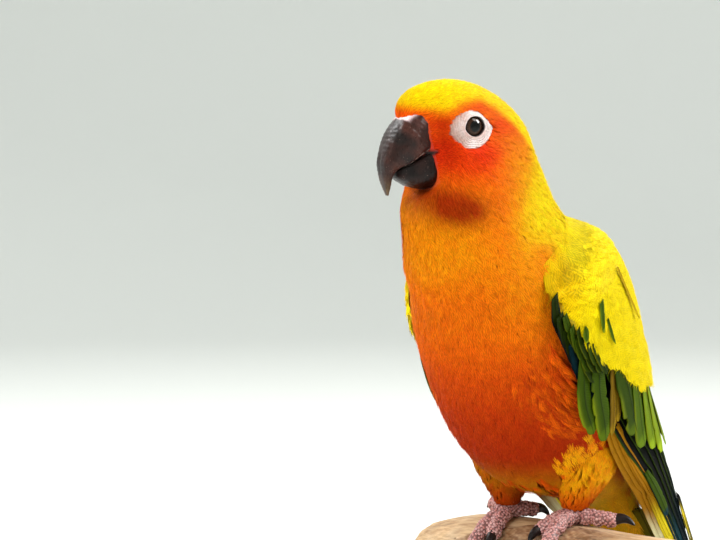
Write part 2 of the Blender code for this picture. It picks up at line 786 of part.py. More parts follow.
def main():
    for old in list(bpy.data.objects):
        bpy.data.objects.remove(old)
    random.seed(SEED)
    orange = material("orange_feather", (0.86, 0.20, 0.02), 0.75)
    gold = material("gold_feather", (0.95, 0.62, 0.01), 0.72)
    green = material("green_feather", (0.10, 0.24, 0.02), 0.6)
    horn = material("bill_horn", (0.03, 0.024, 0.026), 0.3)
    wet = material("eye_gloss", (0.02, 0.012, 0.01), 0.06)
    skin = material("foot_skin", (0.36, 0.20, 0.19), 0.7)
    wood = material("perch_wood", (0.55, 0.36, 0.19), 0.8)
    base_wood = material("stand_wood", (0.16, 0.09, 0.05), 0.4)
    steel = material("stand_steel", (0.45, 0.45, 0.46), 0.3, 1.0)

    smooth(body_length("torso", 0.0, NECK_FROM, 16, orange))
    smooth(body_length("neck", NECK_FROM, HEAD_FROM, 6, gold))
    make_head(gold, horn, wet)
    for label, side in (("left", 1), ("right", -1)):
        make_wing(f"wing_{label}", side, green)
        make_thigh(f"thigh_{label}", side, gold)
        make_foot(f"foot_{label}", side, skin, horn)
    make_tail(green)
    make_perch(wood)
    make_stand(base_wood, steel)


main()
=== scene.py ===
"""A life-size sun conure on a cut perch: skin, coat, flight feathers, bill, eyes, feet, perch and stand.

Sizes are in millimetres in the bird's own frame, as in the model's source: the origin is the top of the perch
between the feet, the bird faces -Y, +X is its left and +Z is up. to_part() gives metres in the part's frame.
"""

import math
from typing import Callable, NamedTuple

import bmesh
import bpy
import numpy as np
from bpy.props import FloatProperty, FloatVectorProperty, IntProperty, PointerProperty
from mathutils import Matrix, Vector
from mathutils.bvhtree import BVHTree
from mathutils.kdtree import KDTree


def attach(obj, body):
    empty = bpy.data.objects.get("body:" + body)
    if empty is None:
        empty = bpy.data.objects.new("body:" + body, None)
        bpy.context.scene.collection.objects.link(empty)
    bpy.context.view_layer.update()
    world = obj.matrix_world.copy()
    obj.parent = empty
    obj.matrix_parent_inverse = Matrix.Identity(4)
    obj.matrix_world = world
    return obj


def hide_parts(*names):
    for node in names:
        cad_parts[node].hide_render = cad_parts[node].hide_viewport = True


bl_info = {
    "name": "Sun Conure",
    "version": (1, 0, 0),
    "blender": (4, 5, 0),
    "location": "3D View > Sidebar > Conure",
    "description": "Finishes a life-size sun conure on a cut perch",
    "category": "Add Mesh",
}

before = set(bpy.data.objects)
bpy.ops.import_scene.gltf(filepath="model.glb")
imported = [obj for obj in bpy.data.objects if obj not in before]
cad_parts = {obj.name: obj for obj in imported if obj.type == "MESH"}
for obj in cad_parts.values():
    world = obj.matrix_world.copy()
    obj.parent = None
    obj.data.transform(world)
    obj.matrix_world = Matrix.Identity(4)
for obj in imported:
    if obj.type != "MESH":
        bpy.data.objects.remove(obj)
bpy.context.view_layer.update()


MM = 0.001
PERCH_TOP = 102.0
BASE_CENTRE_Y = 12.0
BODY_SLOPE = 53.0
NECK_BASE = np.array((0.0, -33.0, 101.0))
HEAD_YAW = -22.0
HEAD_TURN_Y = -34.0
HEAD_Y = -41.0

# Sections of the tail's root and the torso: distance along the axis, half width, back, widest level, belly
TORSO = (
    (10.0, 26.2, 20.8, -3.0, -34.4), (22.0, 28.8, 22.8, -5.0, -39.0), (36.0, 29.8, 24.4, -7.0, -42.0),
    (50.0, 29.8, 23.4, -8.0, -44.0), (64.0, 28.8, 20.8, -9.0, -43.8), (78.0, 25.8, 17.2, -9.0, -39.8),
    (90.0, 21.4, 14.0, -8.0, -32.5), (100.0, 17.0, 11.6, -6.0, -24.0), (108.0, 13.6, 9.6, -4.2, -16.5),
    (115.0, 11.2, 8.0, -2.8, -12.0), (124.0, 10.4, 5.6, -3.0, -10.8), (134.0, 9.8, 2.8, -3.4, -9.2),
    (144.0, 8.6, 0.6, -3.6, -7.4), (150.0, 7.0, -1.4, -3.8, -6.2),
)
# Sections of the neck and head: back y z, front y z, half width, share of the depth above the widest
# level, turn
NECK_AND_HEAD = (
    (-13.4, 111.2, -59.2, 81.6, 24.0, 0.48, 0.12), (-15.8, 117.6, -60.6, 90.6, 21.6, 0.50, 0.32),
    (-18.6, 124.6, -61.4, 97.8, 19.7, 0.52, 0.58), (-21.8, 132.0, -61.2, 103.0, 18.2, 0.54, 0.82),
    (-29.0, 138.8, -59.6, 106.4, 16.9, 0.56, 1.0), (-38.0, 143.4, -57.6, 108.2, 16.0, 0.56, 1.0),
    (-47.0, 144.9, -56.0, 109.0, 15.0, 0.56, 1.0), (-55.6, 143.6, -54.8, 109.5, 12.6, 0.55, 1.0),
    (-62.4, 140.4, -53.4, 109.7, 8.3, 0.54, 1.0), (-65.0, 135.8, -52.3, 109.9, 6.2, 0.52, 1.0),
    (-64.6, 132.4, -54.0, 112.4, 4.8, 0.52, 1.0), (-63.6, 128.0, -56.4, 116.0, 2.4, 0.52, 1.0),
)
LAST_PLACE = 25.0
FULLNESS = 0.94

# The folded wing lies on this form: distance, half width, back, widest level, lower radius, first and
# last angle
WING_FORM = np.array((
    (10.0, 26.2, 20.8, -3.0, 31.4, 34.0, 94.0), (22.0, 28.8, 22.8, -5.0, 34.0, 25.0, 108.0),
    (36.0, 29.8, 24.4, -7.0, 35.0, 17.0, 117.0), (50.0, 29.8, 23.4, -8.0, 36.0, 12.0, 117.0),
    (64.0, 29.0, 21.0, -9.0, 35.0, 9.0, 110.0), (80.0, 27.0, 18.4, -8.5, 32.0, 8.0, 105.0),
    (96.0, 25.0, 16.4, -6.0, 26.0, 10.0, 101.0), (112.0, 23.0, 14.4, -3.5, 20.0, 14.0, 98.0),
    (130.0, 20.6, 12.4, -1.5, 15.0, 20.0, 97.0), (148.0, 18.2, 10.6, 0.0, 11.0, 30.0, 96.0),
    (166.0, 16.2, 8.6, 1.0, 8.0, 42.0, 94.0),
))
WING_CORE_START = 10.6
WING_CORE_ENDS = (34.0, 62.0)
CORE_HEIGHT = 8.4
CORE_EDGE = 0.9

UPPER_BILL = np.array((
    (19.8, 135.4, 9.5, 123.8, 8.2), (23.2, 133.0, 13.0, 123.8, 8.1), (26.2, 129.4, 17.2, 122.0, 8.2),
    (28.4, 124.6, 21.6, 119.0, 6.9), (29.7, 119.4, 25.2, 117.5, 5.2), (29.5, 115.2, 26.9, 114.9, 3.6),
    (28.7, 111.9, 27.2, 111.5, 2.1), (27.7, 109.1, 27.3, 109.0, 0.8),
))
LOWER_BILL = np.array((
    (8.5, 123.2, 7.8, 113.4, 7.4), (12.0, 123.2, 11.4, 111.5, 8.2), (16.2, 121.9, 15.6, 110.9, 7.8),
    (20.2, 119.4, 19.6, 111.6, 6.6), (23.3, 117.8, 23.0, 113.0, 4.8), (25.0, 117.0, 24.8, 114.4, 2.7),
))
NOSTRIL = (19.4, 5.4, 132.2)

EYE_FORWARD = 4.8
EYE_UP = 130.5
EYE_RADIUS = 4.7
EYE_CENTRE = 10.7
# Reach of the bare ring round the eye: degrees from the bill's side, turning upwards, and millimetres
RING_REACH = ((0, 9.3), (14, 8.5), (40, 6.6), (90, 5.4), (135, 5.35), (160, 5.9), (182, 6.9), (205, 6.1),
              (238, 5.9), (284, 6.8), (326, 9.2), (345, 9.7), (360, 9.3))

FOOT_X = 11.8
FOOT_Y = {1: 1.0, -1: -4.0}
THIGH = np.array((
    (33.0, 2.6, -1.0, 8.5, 13.0), (24.0, 3.4, -2.0, 9.6, 13.6), (16.0, 2.6, -1.6, 8.4, 11.0),
    (10.0, 1.0, -0.8, 6.0, 7.6), (6.0, 0.2, -0.2, 4.2, 5.0), (4.6, 0.0, 0.0, 3.4, 4.0),
))
TOE_RADIUS = 2.3
TOE_GAP = 0.6
TOES = (
    ("inner_front", -14.0, 16.0, 6.0), ("outer_front", 6.0, 21.0, 6.8),
    ("outer_back", 128.0, 18.0, 6.4), ("inner_back", 205.0, 11.0, 5.6),
)
OUTER_BACK_LEFT = (104.0, 14.6)
PERCH_RADIUS = 20.5
PERCH_Y = -1.0
PERCH_ENDS = (-46.0, 50.0)

AXIS = np.array((0.0, math.cos(math.radians(BODY_SLOPE)), -math.sin(math.radians(BODY_SLOPE))))
BACK = np.array((0.0, math.sin(math.radians(BODY_SLOPE)), math.cos(math.radians(BODY_SLOPE))))
SIDE = np.array((1.0, 0.0, 0.0))
SIDE_NAMES = {1: "left", -1: "right"}


def colour_setting(name, description, default):
    """One colour of the settings."""
    return FloatVectorProperty(
        name=name, description=description, default=default, subtype="COLOR", min=0.0, max=1.0)


class ConureSettings(bpy.types.PropertyGroup):
    """Sizes and colours of the finished bird."""

    feather_length: FloatProperty(
        name="Feather length", description="Share of the natural length of the small feathers",
        default=1.0, min=0.5, max=1.6)
    coat_closeness: FloatProperty(
        name="Closeness", description="How close the small feathers stand", default=1.0, min=0.3, max=1.6)
    yellow: colour_setting("Yellow", "Crown, back and wing coverts", (0.98, 0.67, 0.003))
    gold: colour_setting("Gold", "Sides of the neck and thighs", (0.96, 0.38, 0.003))
    orange: colour_setting("Orange", "Breast and ear coverts", (0.95, 0.19, 0.003))
    flame: colour_setting("Flame", "Forehead, cheeks and belly", (0.90, 0.075, 0.003))
    crimson: colour_setting("Crimson", "Lores and the shade of the throat", (0.58, 0.018, 0.002))
    green: colour_setting("Green", "Flight feathers and greater coverts", (0.040, 0.075, 0.002))
    navy: colour_setting("Navy", "Outer flight feathers and the wing's leading edge", (0.004, 0.022, 0.030))
    horn: colour_setting("Horn", "Bill and claws", (0.010, 0.0055, 0.005))
    bare_skin: colour_setting("Bare skin", "Ring round the eye and the cere", (0.80, 0.70, 0.69))
    foot_skin: colour_setting("Foot skin", "Legs and toes", (0.48, 0.22, 0.20))
    key_light: FloatProperty(
        name="Key light", description="Power of the large soft light", default=15.5, min=0.0, unit="POWER")
    seed: IntProperty(name="Seed", description="Start of every random draw", default=11, min=0)


def shades(settings, *names):
    """Colours of the settings, as arrays."""
    return [np.array(getattr(settings, name)) for name in names]


# Curves and surfaces

def to_part(points):
    """Points of the bird's frame in millimetres, as metres in the part's frame."""
    moved = np.array(points, float)
    moved[..., 1] -= BASE_CENTRE_Y
    moved[..., 2] += PERCH_TOP
    return moved * MM


def rows_at(rows, place):
    """Rows at fractional places, on a smooth curve through them all."""
    last = len(rows) - 1
    place = np.clip(place, 0.0, last)
    i = np.minimum(place.astype(int), last - 1)
    t = (place - i)[..., None]
    p = rows[np.maximum(i - 1, 0)]
    q = rows[i]
    r = rows[i + 1]
    s = rows[np.minimum(i + 2, last)]
    bend = (2 * p - 5 * q + 4 * r - s) * t * t + (3 * q - p - 3 * r + s) * t ** 3
    return 0.5 * (2 * q + (r - p) * t + bend)


def smoothstep(low, high, value):
    """A smooth rise from 0 at low to 1 at high."""
    t = np.clip((value - low) / (high - low), 0.0, 1.0)
    return t * t * (3.0 - 2.0 * t)


def circle(count):
    """Even angles round a circle."""
    return math.tau * np.arange(count) / count


def from_back(angle):
    """Angle between a direction and the middle of the back: 0 there, pi at the belly."""
    return np.abs((angle + math.pi) % math.tau - math.pi)


def body_rows():
    """All sections from the tail's root to the face: back y z, front y z, half width, share, turn."""
    rows = []
    for distance, half, back, widest, belly in reversed(TORSO):
        top = NECK_BASE + AXIS * distance + BACK * back
        low = NECK_BASE + AXIS * distance + BACK * belly
        rows.append((top[1], top[2], low[1], low[2], half, (back - widest) / (back - belly), 0.0))
    return np.array(rows + list(NECK_AND_HEAD))


BODY_ROWS = body_rows()


def turned(points, share=1.0):
    """Points turned with the head about the neck's upright axis."""
    angle = math.radians(HEAD_YAW) * share
    c = np.cos(angle)
    s = np.sin(angle)
    x = points[..., 0]
    y = points[..., 1] - HEAD_TURN_Y
    return np.stack((x * c - y * s, x * s + y * c + HEAD_TURN_Y, points[..., 2]), -1)


def body_surface(place, angle, height):
    """The plumage's outer surface: place along the sections, angle from the back, height over it."""
    place, angle, height = np.broadcast_arrays(place, angle, height)
    row = rows_at(BODY_ROWS, place)
    back = row[..., 0:2]
    way = back - row[..., 2:4]
    depth = np.linalg.norm(way, axis=-1, keepdims=True)
    way = way / depth
    half, share, turn = row[..., 4], row[..., 5], row[..., 6]
    c = np.cos(angle)
    s = np.sin(angle)
    reach = depth[..., 0] * np.where(c > 0, share, 1.0 - share)
    across = (half + height) * np.sign(s) * np.abs(s) ** FULLNESS
    middle = back - way * depth * share[..., None] + way * ((reach + height) * c)[..., None]
    return turned(np.stack((across, middle[..., 0], middle[..., 1]), -1), turn)


def head_point(forward, left, up):
    """A point of the skull's own plane in the bird's frame."""
    forward, left, up = np.broadcast_arrays(forward, left, up)
    return turned(np.stack((left, HEAD_Y - forward, up), -1))


def head_points(spots):
    """Points of the skull's own plane in the bird's frame."""
    return head_point(spots[..., 0], spots[..., 1], spots[..., 2])


def in_skull(points):
    """Forward, left and up of points in the skull's own plane."""
    back = turned(points, -1.0)
    return HEAD_Y - back[..., 1], back[..., 0], back[..., 2]


def body_point(distance, across, level):
    """A point by its distance along the body's axis, its way out and its level over the axis."""
    distance, across, level = np.broadcast_arrays(distance, across, level)
    return NECK_BASE + distance[..., None] * AXIS + across[..., None] * SIDE + level[..., None] * BACK


def wing_surface(side):
    """The form under one folded wing: distance, share from the back edge to the front edge, height."""
    def surface(distance, share, height):
        distance, share, height = np.broadcast_arrays(distance, share, height)
        place = np.interp(distance, WING_FORM[:, 0], np.arange(len(WING_FORM)))
        row = rows_at(WING_FORM, place)
        half, back, widest, low, first, last = (row[..., i] for i in range(1, 7))
        angle = np.radians(first + (last - first) * share)
        c = np.cos(angle)
        s = np.sin(angle)
        reach = np.where(c > 0, back - widest, low)
        across = side * (half + height) * np.sign(s) * np.abs(s) ** FULLNESS
        return body_point(distance, across, widest + (reach + height) * c)
    return surface


def core_end(share):
    """Distance at which the wing's flesh ends."""
    return WING_CORE_ENDS[1] + (WING_CORE_ENDS[0] - WING_CORE_ENDS[1]) * share


def core_height(share):
    """Height of the wing's flesh at shares from its back edge to its front edge."""
    dome = np.sqrt(np.maximum(0.0, 1.0 - 0.96 * np.abs(2.0 * share - 1.0) ** 4))
    return CORE_EDGE + (CORE_HEIGHT - CORE_EDGE) * dome


def covert_height(distance, share):
    """Height of the wing's outer surface over the body, under its coverts."""
    t = (distance - WING_CORE_START) / (core_end(share) - WING_CORE_START)
    rise = np.sin(np.clip(t * 3.0, 0.0, 1.0) * math.pi / 2)
    fall = 1.0 - 0.10 * np.clip((t - 0.7) / 0.3, 0.0, 1.0) - 0.22 * np.clip(t - 1.0, 0.0, 1.5)
    return np.maximum(CORE_EDGE, core_height(np.clip(share, 0.0, 1.0)) * rise * fall)


def thigh_surface(side):
    """One feathered thigh: place from the top down, angle, height."""
    def surface(place, angle, height):
        place, angle, height = np.broadcast_arrays(place, angle, height)
        row = rows_at(THIGH, place)
        up, out, back, half, long = (row[..., i] for i in range(5))
        x = side * (FOOT_X + out) + (half + height) * np.cos(angle)
        y = FOOT_Y[side] - back + (long + height) * np.sin(angle)
        return np.stack((x, y, up), -1)
    return surface


# Meshes

def mesh_object(name, points, triangles, tint=None, maps=None, normals=None):
    """An object of triangles, from points of the bird's frame."""
    points = to_part(np.asarray(points).reshape(-1, 3))
    triangles = np.asarray(triangles, np.int32)
    mesh = bpy.data.meshes.new(name)
    mesh.vertices.add(len(points))
    mesh.vertices.foreach_set("co", points.astype(np.float32).ravel())
    mesh.loops.add(triangles.size)
    mesh.loops.foreach_set("vertex_index", triangles.ravel())
    mesh.polygons.add(len(triangles))
    mesh.polygons.foreach_set("loop_start", np.arange(0, triangles.size, 3, dtype=np.int32))
    mesh.polygons.foreach_set("use_smooth", np.ones(len(triangles), bool))
    mesh.update(calc_edges=True)
    if tint is not None:
        paint_mesh(mesh, tint)
    for label, spots in (maps or {}).items():
        layer = mesh.uv_layers.new(name=label)
        spots = np.asarray(spots, np.float32).reshape(-1, 2)
        layer.data.foreach_set("uv", spots[triangles.ravel()].ravel())
    if normals is not None:
        mesh.normals_split_custom_set_from_vertices(np.asarray(normals, np.float32).reshape(-1, 3))
    made = bpy.data.objects.new(name, mesh)
    bpy.context.scene.collection.objects.link(made)
    return made


def paint_mesh(mesh, tint):
    """Stores a colour, and a random number as its alpha, at each point."""
    tint = np.asarray(tint, np.float32).reshape(-1, tint.shape[-1])
    if tint.shape[1] == 3:
        tint = np.concatenate((tint, np.full((len(tint), 1), 0.5, np.float32)), 1)
    layer = mesh.color_attributes.new("Tint", "FLOAT_COLOR", "POINT")
    layer.data.foreach_set("color", tint.ravel())


def finish(made, look, slot, *nodes):
    """Gives a piece its material and body, and the nodes that it stands for."""
    made.data.materials.clear()
    made.data.materials.append(look)
    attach(made, "root")
    if nodes:
        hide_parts(*nodes)
    return made


def grid_triangles(rows, columns, closed=False):
    """Triangles of a grid of points, closed round its columns or open."""
    i = np.arange(rows - 1)[:, None]
    j = np.arange(columns if closed else columns - 1)[None, :]
    a = i * columns + j
    b = i * columns + (j + 1) % columns
    c = a + columns
    d = b + columns
    return np.stack((np.stack((a, b, d), -1), np.stack((a, d, c), -1)), -2).reshape(-1, 3)


def loft_object(name, grid, tint=None):
    """A closed body through rings of points, its ends closed by fans."""
    rings, sides = grid.shape[:2]
    points = np.concatenate((grid.reshape(-1, 3), grid[:1].mean(1), grid[-1:].mean(1)))
    j = np.arange(sides)
    k = (j + 1) % sides
    last_ring = (rings - 1) * sides
    first = np.stack((np.full(sides, rings * sides), k, j), -1)
    last = np.stack((np.full(sides, rings * sides + 1), j + last_ring, k + last_ring), -1)
    faces = np.concatenate((grid_triangles(rings, sides, True), first, last))
    if tint is not None:
        tint = np.broadcast_to(tint, grid.shape)
        tint = np.concatenate((tint.reshape(-1, 3), tint[:1].mean(1), tint[-1:].mean(1)))
    made = mesh_object(name, points, faces, tint)
    point_out(made)
    return made


def joined(name, parts):
    """One object from several, which are removed."""
    target = parts[0]
    with bpy.context.temp_override(
            object=target, active_object=target, selected_objects=parts, selected_editable_objects=parts):
        bpy.ops.object.join()
    target.name = name
    target.data.name = name
    return target


def tube_grid(path, radii, sides, flat, up):
    """Rings round a path, flattened towards up by flat."""
    way = np.gradient(path, axis=0)
    way /= np.linalg.norm(way, axis=1, keepdims=True)
    across = np.cross(way, up)
    across /= np.linalg.norm(across, axis=1, keepdims=True)
    over = np.cross(across, way)
    c = np.cos(circle(sides))[:, None]
    s = np.sin(circle(sides))[:, None]
    return path[:, None] + (across[:, None] * c + over[:, None] * s * flat) * radii[:, None, None]


# Materials

def add_node(tree, kind, values=None, **settings):
    """A new node with its settings, and a number, colour or link for its inputs by name or place."""
    made = tree.nodes.new(kind)
    for key, value in settings.items():
        setattr(made, key, value)
    for key, value in (values or {}).items():
        socket = made.inputs[key]
        if isinstance(value, bpy.types.NodeSocket):
            tree.links.new(value, socket)
        elif socket.type == "RGBA":
            socket.default_value = (*value, 1.0)
        else:
            socket.default_value = value
    return made


class Look:
    """A material in the making: each short call adds nodes and gives back their output."""

    def __init__(self, name):
        self.material = bpy.data.materials.new(name)
        self.material.use_nodes = True
        self.tree = self.material.node_tree
        self.tint = self.node("ShaderNodeAttribute", "Color", attribute_name="Tint")
        self.place = self.node("ShaderNodeTexCoord", "Object")

    def node(self, kind, output=0, values=None, **settings):
        return add_node(self.tree, kind, values, **settings).outputs[output]

    def maths(self, operation, first, second=None):
        values = {0: first} if second is None else {0: first, 1: second}
        return self.node("ShaderNodeMath", 0, values, operation=operation)

    def mix(self, share, first, second, blend_type="MIX"):
        values = {0: share, 6: first, 7: second}
        return self.node("ShaderNodeMix", 2, values, data_type="RGBA", blend_type=blend_type)

    def noise(self, place, scale, detail=3.0, roughness=0.55):
        return self.node("ShaderNodeTexNoise", 0, {
            "Vector": place, "Scale": scale, "Detail": detail, "Roughness": roughness})

    def ramp(self, value, low, high, dark=0.0, light=1.0):
        return self.node("ShaderNodeMapRange", 0, {
            "Value": value, "From Min": low, "From Max": high, "To Min": dark, "To Max": light})

    def stretched(self, scale, turn=(0.0, 0.0, 0.0)):
        return self.node("ShaderNodeMapping", 0, {"Vector": self.place, "Scale": scale, "Rotation": turn})

    def shaded(self, shade):
        """The piece's own colour times a shade."""
        grey = self.node("ShaderNodeCombineColor", 0, {0: shade, 1: shade, 2: shade})
        return self.mix(1.0, self.tint, grey, "MULTIPLY")

    def finished(self, colour, roughness, height=None, bump=0.0, depth=0.0, **more):
        """The material, with its colour, roughness, bump of a depth in metres and other inputs by name."""
        shader = self.tree.nodes["Principled BSDF"]
        values = {"Base Color": colour, "Roughness": roughness}
        if height is not None:
            values["Normal"] = self.node(
                "ShaderNodeBump", 0, {"Height": height, "Strength": bump, "Distance": depth})
        values.update({key.replace("_", " "): value for key, value in more.items()})
        for key, value in values.items():
            if isinstance(value, bpy.types.NodeSocket):
                self.tree.links.new(value, shader.inputs[key])
            else:
                shader.inputs[key].default_value = value
        return self.material


def feather_look(name, roughness, gloss, barb, depth, glow=0.0, slope=1.1):
    """Feather vanes: their own colour, with barbs that run slantwise from the shaft."""
    look = Look(name)
    vane = look.node("ShaderNodeUVMap", uv_map="Vane")
    split = add_node(look.tree, "ShaderNodeSeparateXYZ", {0: vane}).outputs
    slant = look.maths("SUBTRACT", look.maths("MULTIPLY", split[1], slope), look.maths("ABSOLUTE", split[0]))
    slant = look.maths("ADD", slant, look.maths("MULTIPLY", look.noise(vane, 6.0, 2.0), 0.06))
    wave = look.maths("SINE", look.maths("MULTIPLY", slant, 10.0 * math.tau / barb))
    cloud = look.ramp(look.noise(look.place, 420.0), 0.3, 0.7, 0.94, 1.05)
    shade = look.maths("MULTIPLY", look.ramp(wave, -1.0, 1.0, 0.74, 1.10), cloud)
    rough = look.ramp(wave, -1.0, 1.0, roughness + 0.08, roughness - 0.06)
    return look.finished(look.shaded(shade), rough, wave, 0.5, depth * MM, Specular_IOR_Level=gloss,
                         Subsurface_Weight=glow, Subsurface_Radius=(1.0, 0.5, 0.1), Subsurface_Scale=0.002)


def skin_look(name, roughness, grain, depth):
    """Bare skin in its own colours, finely pebbled."""
    look = Look(name)
    cells = look.node("ShaderNodeTexVoronoi", 0, {"Vector": look.place, "Scale": grain})
    soft = look.noise(look.place, grain * 0.3, 4.0)
    shade = look.maths("ADD", look.ramp(cells, 0.0, 0.7, 1.08, 0.86), look.ramp(soft, 0.3, 0.7, -0.10, 0.08))
    rough = look.ramp(soft, 0.3, 0.7, roughness - 0.08, roughness + 0.1)
    height = look.maths("SUBTRACT", soft, look.maths("MULTIPLY", cells, 0.8))
    return look.finished(look.shaded(shade), rough, height, 0.6, depth * MM, Subsurface_Weight=0.12,
                         Subsurface_Radius=(1.0, 0.35, 0.2), Subsurface_Scale=0.0012)


# Colours of the plumage

def blend(first, second, share):
    """Colours between two, by the share of the second."""
    first = np.asarray(first)
    return first + (second - first) * np.asarray(share)[..., None]


def gape_share(points):
    """Under 1 on the rim of the bare corner of the mouth, where both bill halves meet the face."""
    forward, _, up = in_skull(points)
    ahead = forward - GAPE_FORWARD
    return np.hypot(ahead / 1.6, (up - GAPE_UP + 0.55 * ahead) / 1.2)


GAPE_FORWARD = 16.6
GAPE_UP = 121.9

# Patches of the face, one over another: setting and its green share, strength, forward, up, width, height
FACE_PATCHES = (
    ("flame", 0.8, 1.3, 8.0, 121.5, 14.0, 8.5), ("flame", 0.55, 1.1, 1.0, 122.0, 9.0, 3.6),
    ("flame", 0.9, 1.1, -5.5, 130.0, 7.5, 3.8), ("flame", 1.0, 0.9, 2.0, 137.0, 8.0, 2.4),
    ("crimson", 1.0, 0.9, 14.5, 124.0, 4.5, 7.5), ("crimson", 1.0, 0.8, 15.0, 131.0, 5.0, 2.6),
    ("flame", 1.0, 0.9, 22.0, 134.4, 6.5, 2.2), ("orange", 1.5, 0.8, -9.0, 118.0, 6.0, 9.0),
)


def torso_colour(settings, z, place, turn):
    """Orange breast, red belly and yellow back, at heights, places and angles from the back."""
    yellow, gold, orange, flame = shades(settings, "yellow", "gold", "orange", "flame")
    front = blend(orange, flame, np.interp(z, (4.0, 20.0, 36.0, 50.0, 64.0, 84.0, 100.0),
                                           (1.0, 1.0, 0.95, 0.75, 0.30, 0.02, 0.0)))
    # the belly is painted darker towards the bottom: painted shade over its own red
    painted_belly_shade = np.interp(z, (18.0, 34.0, 52.0, 66.0), (0.95, 0.72, 0.30, 0.0))
    front = blend(front, (0.38, 0.020, 0.002), painted_belly_shade)
    rim = smoothstep(math.radians(158), math.radians(112), turn)
    front = blend(front, 0.5 * (orange + gold), 0.8 * rim * smoothstep(52.0, 82.0, z))
    # low on the flank, just under the wing's edge, the red is painted darker: painted shade
    painted_flank_shade = smoothstep(math.radians(135), math.radians(112), turn) * smoothstep(78.0, 60.0, z)
    front = blend(front, (0.66, 0.045, 0.002), 0.4 * painted_flank_shade)
    back_edge = np.radians(np.interp(z, (20.0, 50.0, 76.0, 90.0, 104.0), (62.0, 66.0, 80.0, 92.0, 86.0)))
    torso = blend(front, yellow, smoothstep(back_edge + 0.16, back_edge - 0.16, turn))
    # dull gold under the tail's root, and olive over it
    vent = smoothstep(12.0, 5.0, place) * smoothstep(math.radians(80), math.radians(120), turn)
    torso = blend(torso, (0.72, 0.30, 0.004), vent * smoothstep(26.0, 8.0, z))
    return blend(torso, (0.42, 0.36, 0.006), smoothstep(4.5, 0.5, place) * (1.0 - smoothstep(1.2, 1.9, turn)))


def head_colour(settings, points):
    """Orange and red from the bill to the ear, yellow over the brow and on the nape."""
    yellow, gold, orange, crimson = shades(settings, "yellow", "gold", "orange", "crimson")
    forward, left, up = in_skull(points)
    brow = np.interp(forward, (-20, -15, -11, -5, 1, 7, 13, 20, 24),
                     (119, 126, 130.5, 135.6, 138.4, 137.4, 134.8, 136.0, 136.6))
    rear = np.interp(up, (84, 92, 100, 108, 115, 122, 128), (-5.4, -5.4, -5.4, -7.8, -11.8, -15.5, -17.0))
    over = brow - up
    behind = forward - rear

    def patch(f, u, wide, tall):
        return np.exp(-(((forward - f) / wide) ** 2 + ((up - u) / tall) ** 2))

    face = orange
    for name, green, strength, *where in FACE_PATCHES:
        colour = shades(settings, name)[0] * (1.0, green, 1.0)
        face = blend(face, colour, np.clip(strength * patch(*where), 0, 1))
    throat = blend(orange, gold, 0.45 * smoothstep(8.0, 20.0, forward + 0.5 * left))
    face = blend(throat, face, smoothstep(103.0, 111.0, up))
    # painted shade on the throat, under the bill and the cheek
    shade = 1.4 * patch(11.2, 104.5, 7.6, 4.5) + 0.5 * patch(15.0, 110.0, 6.0, 3.2)
    face = blend(face, crimson * (0.62, 0.8, 1.0), np.clip(shade * smoothstep(-8.0, 4.0, left), 0, 0.92))
    face = blend(gold, face, smoothstep(-4.0, 7.0, behind) * smoothstep(-1.8, 2.2, over))
    head = blend(yellow, face, smoothstep(-8.0, 1.0, behind) * smoothstep(-3.0, 0.6, over))
    return blend(head, (0.014, 0.006, 0.005), smoothstep(1.15, 0.85, gape_share(points)))


def plumage_colour(settings, points, place, angle):
    """Colour of the coat at points of the bird's frame: the same for skin and feathers."""
    torso = torso_colour(settings, points[..., 2], place, from_back(angle))
    return blend(torso, head_colour(settings, points), smoothstep(13.2, 14.8, place))


# Small feathers

def barbed_vane(rows, columns, tip_barbs, side_barbs, reach=0.24, rounding=0.20, wide=0.045):
    """A feather's pattern: s along and t across its points, how far they may stray, and its triangles."""
    spots = [(along, half * (2.0 * j / (columns - 1) - 1.0), 0.0)
             for along, half in rows for j in range(columns)]
    faces = []
    for i in range(len(rows) - 1):
        for j in range(columns - 1):
            a = i * columns + j
            faces += [(a, a + 1, a + columns + 1), (a, a + columns + 1, a + columns)]
    last_s, last_half = rows[-1]

    def barb(base_s, base_t, wide, along_s, tip_s, tip_t):
        k = len(spots)
        spots.extend(((base_s - along_s, base_t - wide, 0.0), (base_s + along_s, base_t + wide, 0.0),
                      (tip_s, tip_t, 1.0)))
        faces.append((k, k + 1, k + 2))

    for i in range(tip_barbs):
        place = 2.0 * (i + 0.5) / tip_barbs - 1.0
        barb(last_s - 0.03, place * last_half, 1.15 * last_half / tip_barbs, 0.0,
             1.0 - rounding * place ** 2, place * last_half * 0.95)
    for side in (-1.0, 1.0):
        for i in range(side_barbs):
            base = 0.22 + (last_s - 0.24) * (i + 0.5) / side_barbs
            half = np.interp(base, *zip(*rows))
            barb(base, side * half * 0.82, side * 0.10, -side * wide,
                 base + reach, side * (half + (0.30 if half > 0.2 else 0.85)))
    return *np.array(spots).T, np.array(faces)


FINE_VANE = barbed_vane(((0.0, 0.5), (0.4, 1.0), (0.70, 0.85)), 3, 5, 1)
MIDDLE_VANE = barbed_vane(((0.0, 0.4), (0.3, 0.95), (0.55, 1.0), (0.72, 0.85)), 3, 7, 3)
BROAD_VANE = barbed_vane(((0.0, 0.3), (0.22, 0.8), (0.45, 1.0), (0.64, 1.0), (0.76, 0.8)), 5, 10, 5)
LOOSE_VANE = barbed_vane(((0.0, 0.05), (0.35, 0.09), (0.7, 0.07), (0.9, 0.03)), 3, 3, 18, 0.26, 0.2, 0.016)
COVERT_VANE = barbed_vane(
    ((0.0, 0.3), (0.22, 0.8), (0.45, 1.0), (0.66, 1.0), (0.80, 0.84)), 5, 14, 5, 0.2, 0.30)


class Ground(NamedTuple):
    """A surface that feathers stand on: its facing, the sense of its length, and its own map."""
    surface: Callable
    facing: int
    sense: int
    unwrap: Callable


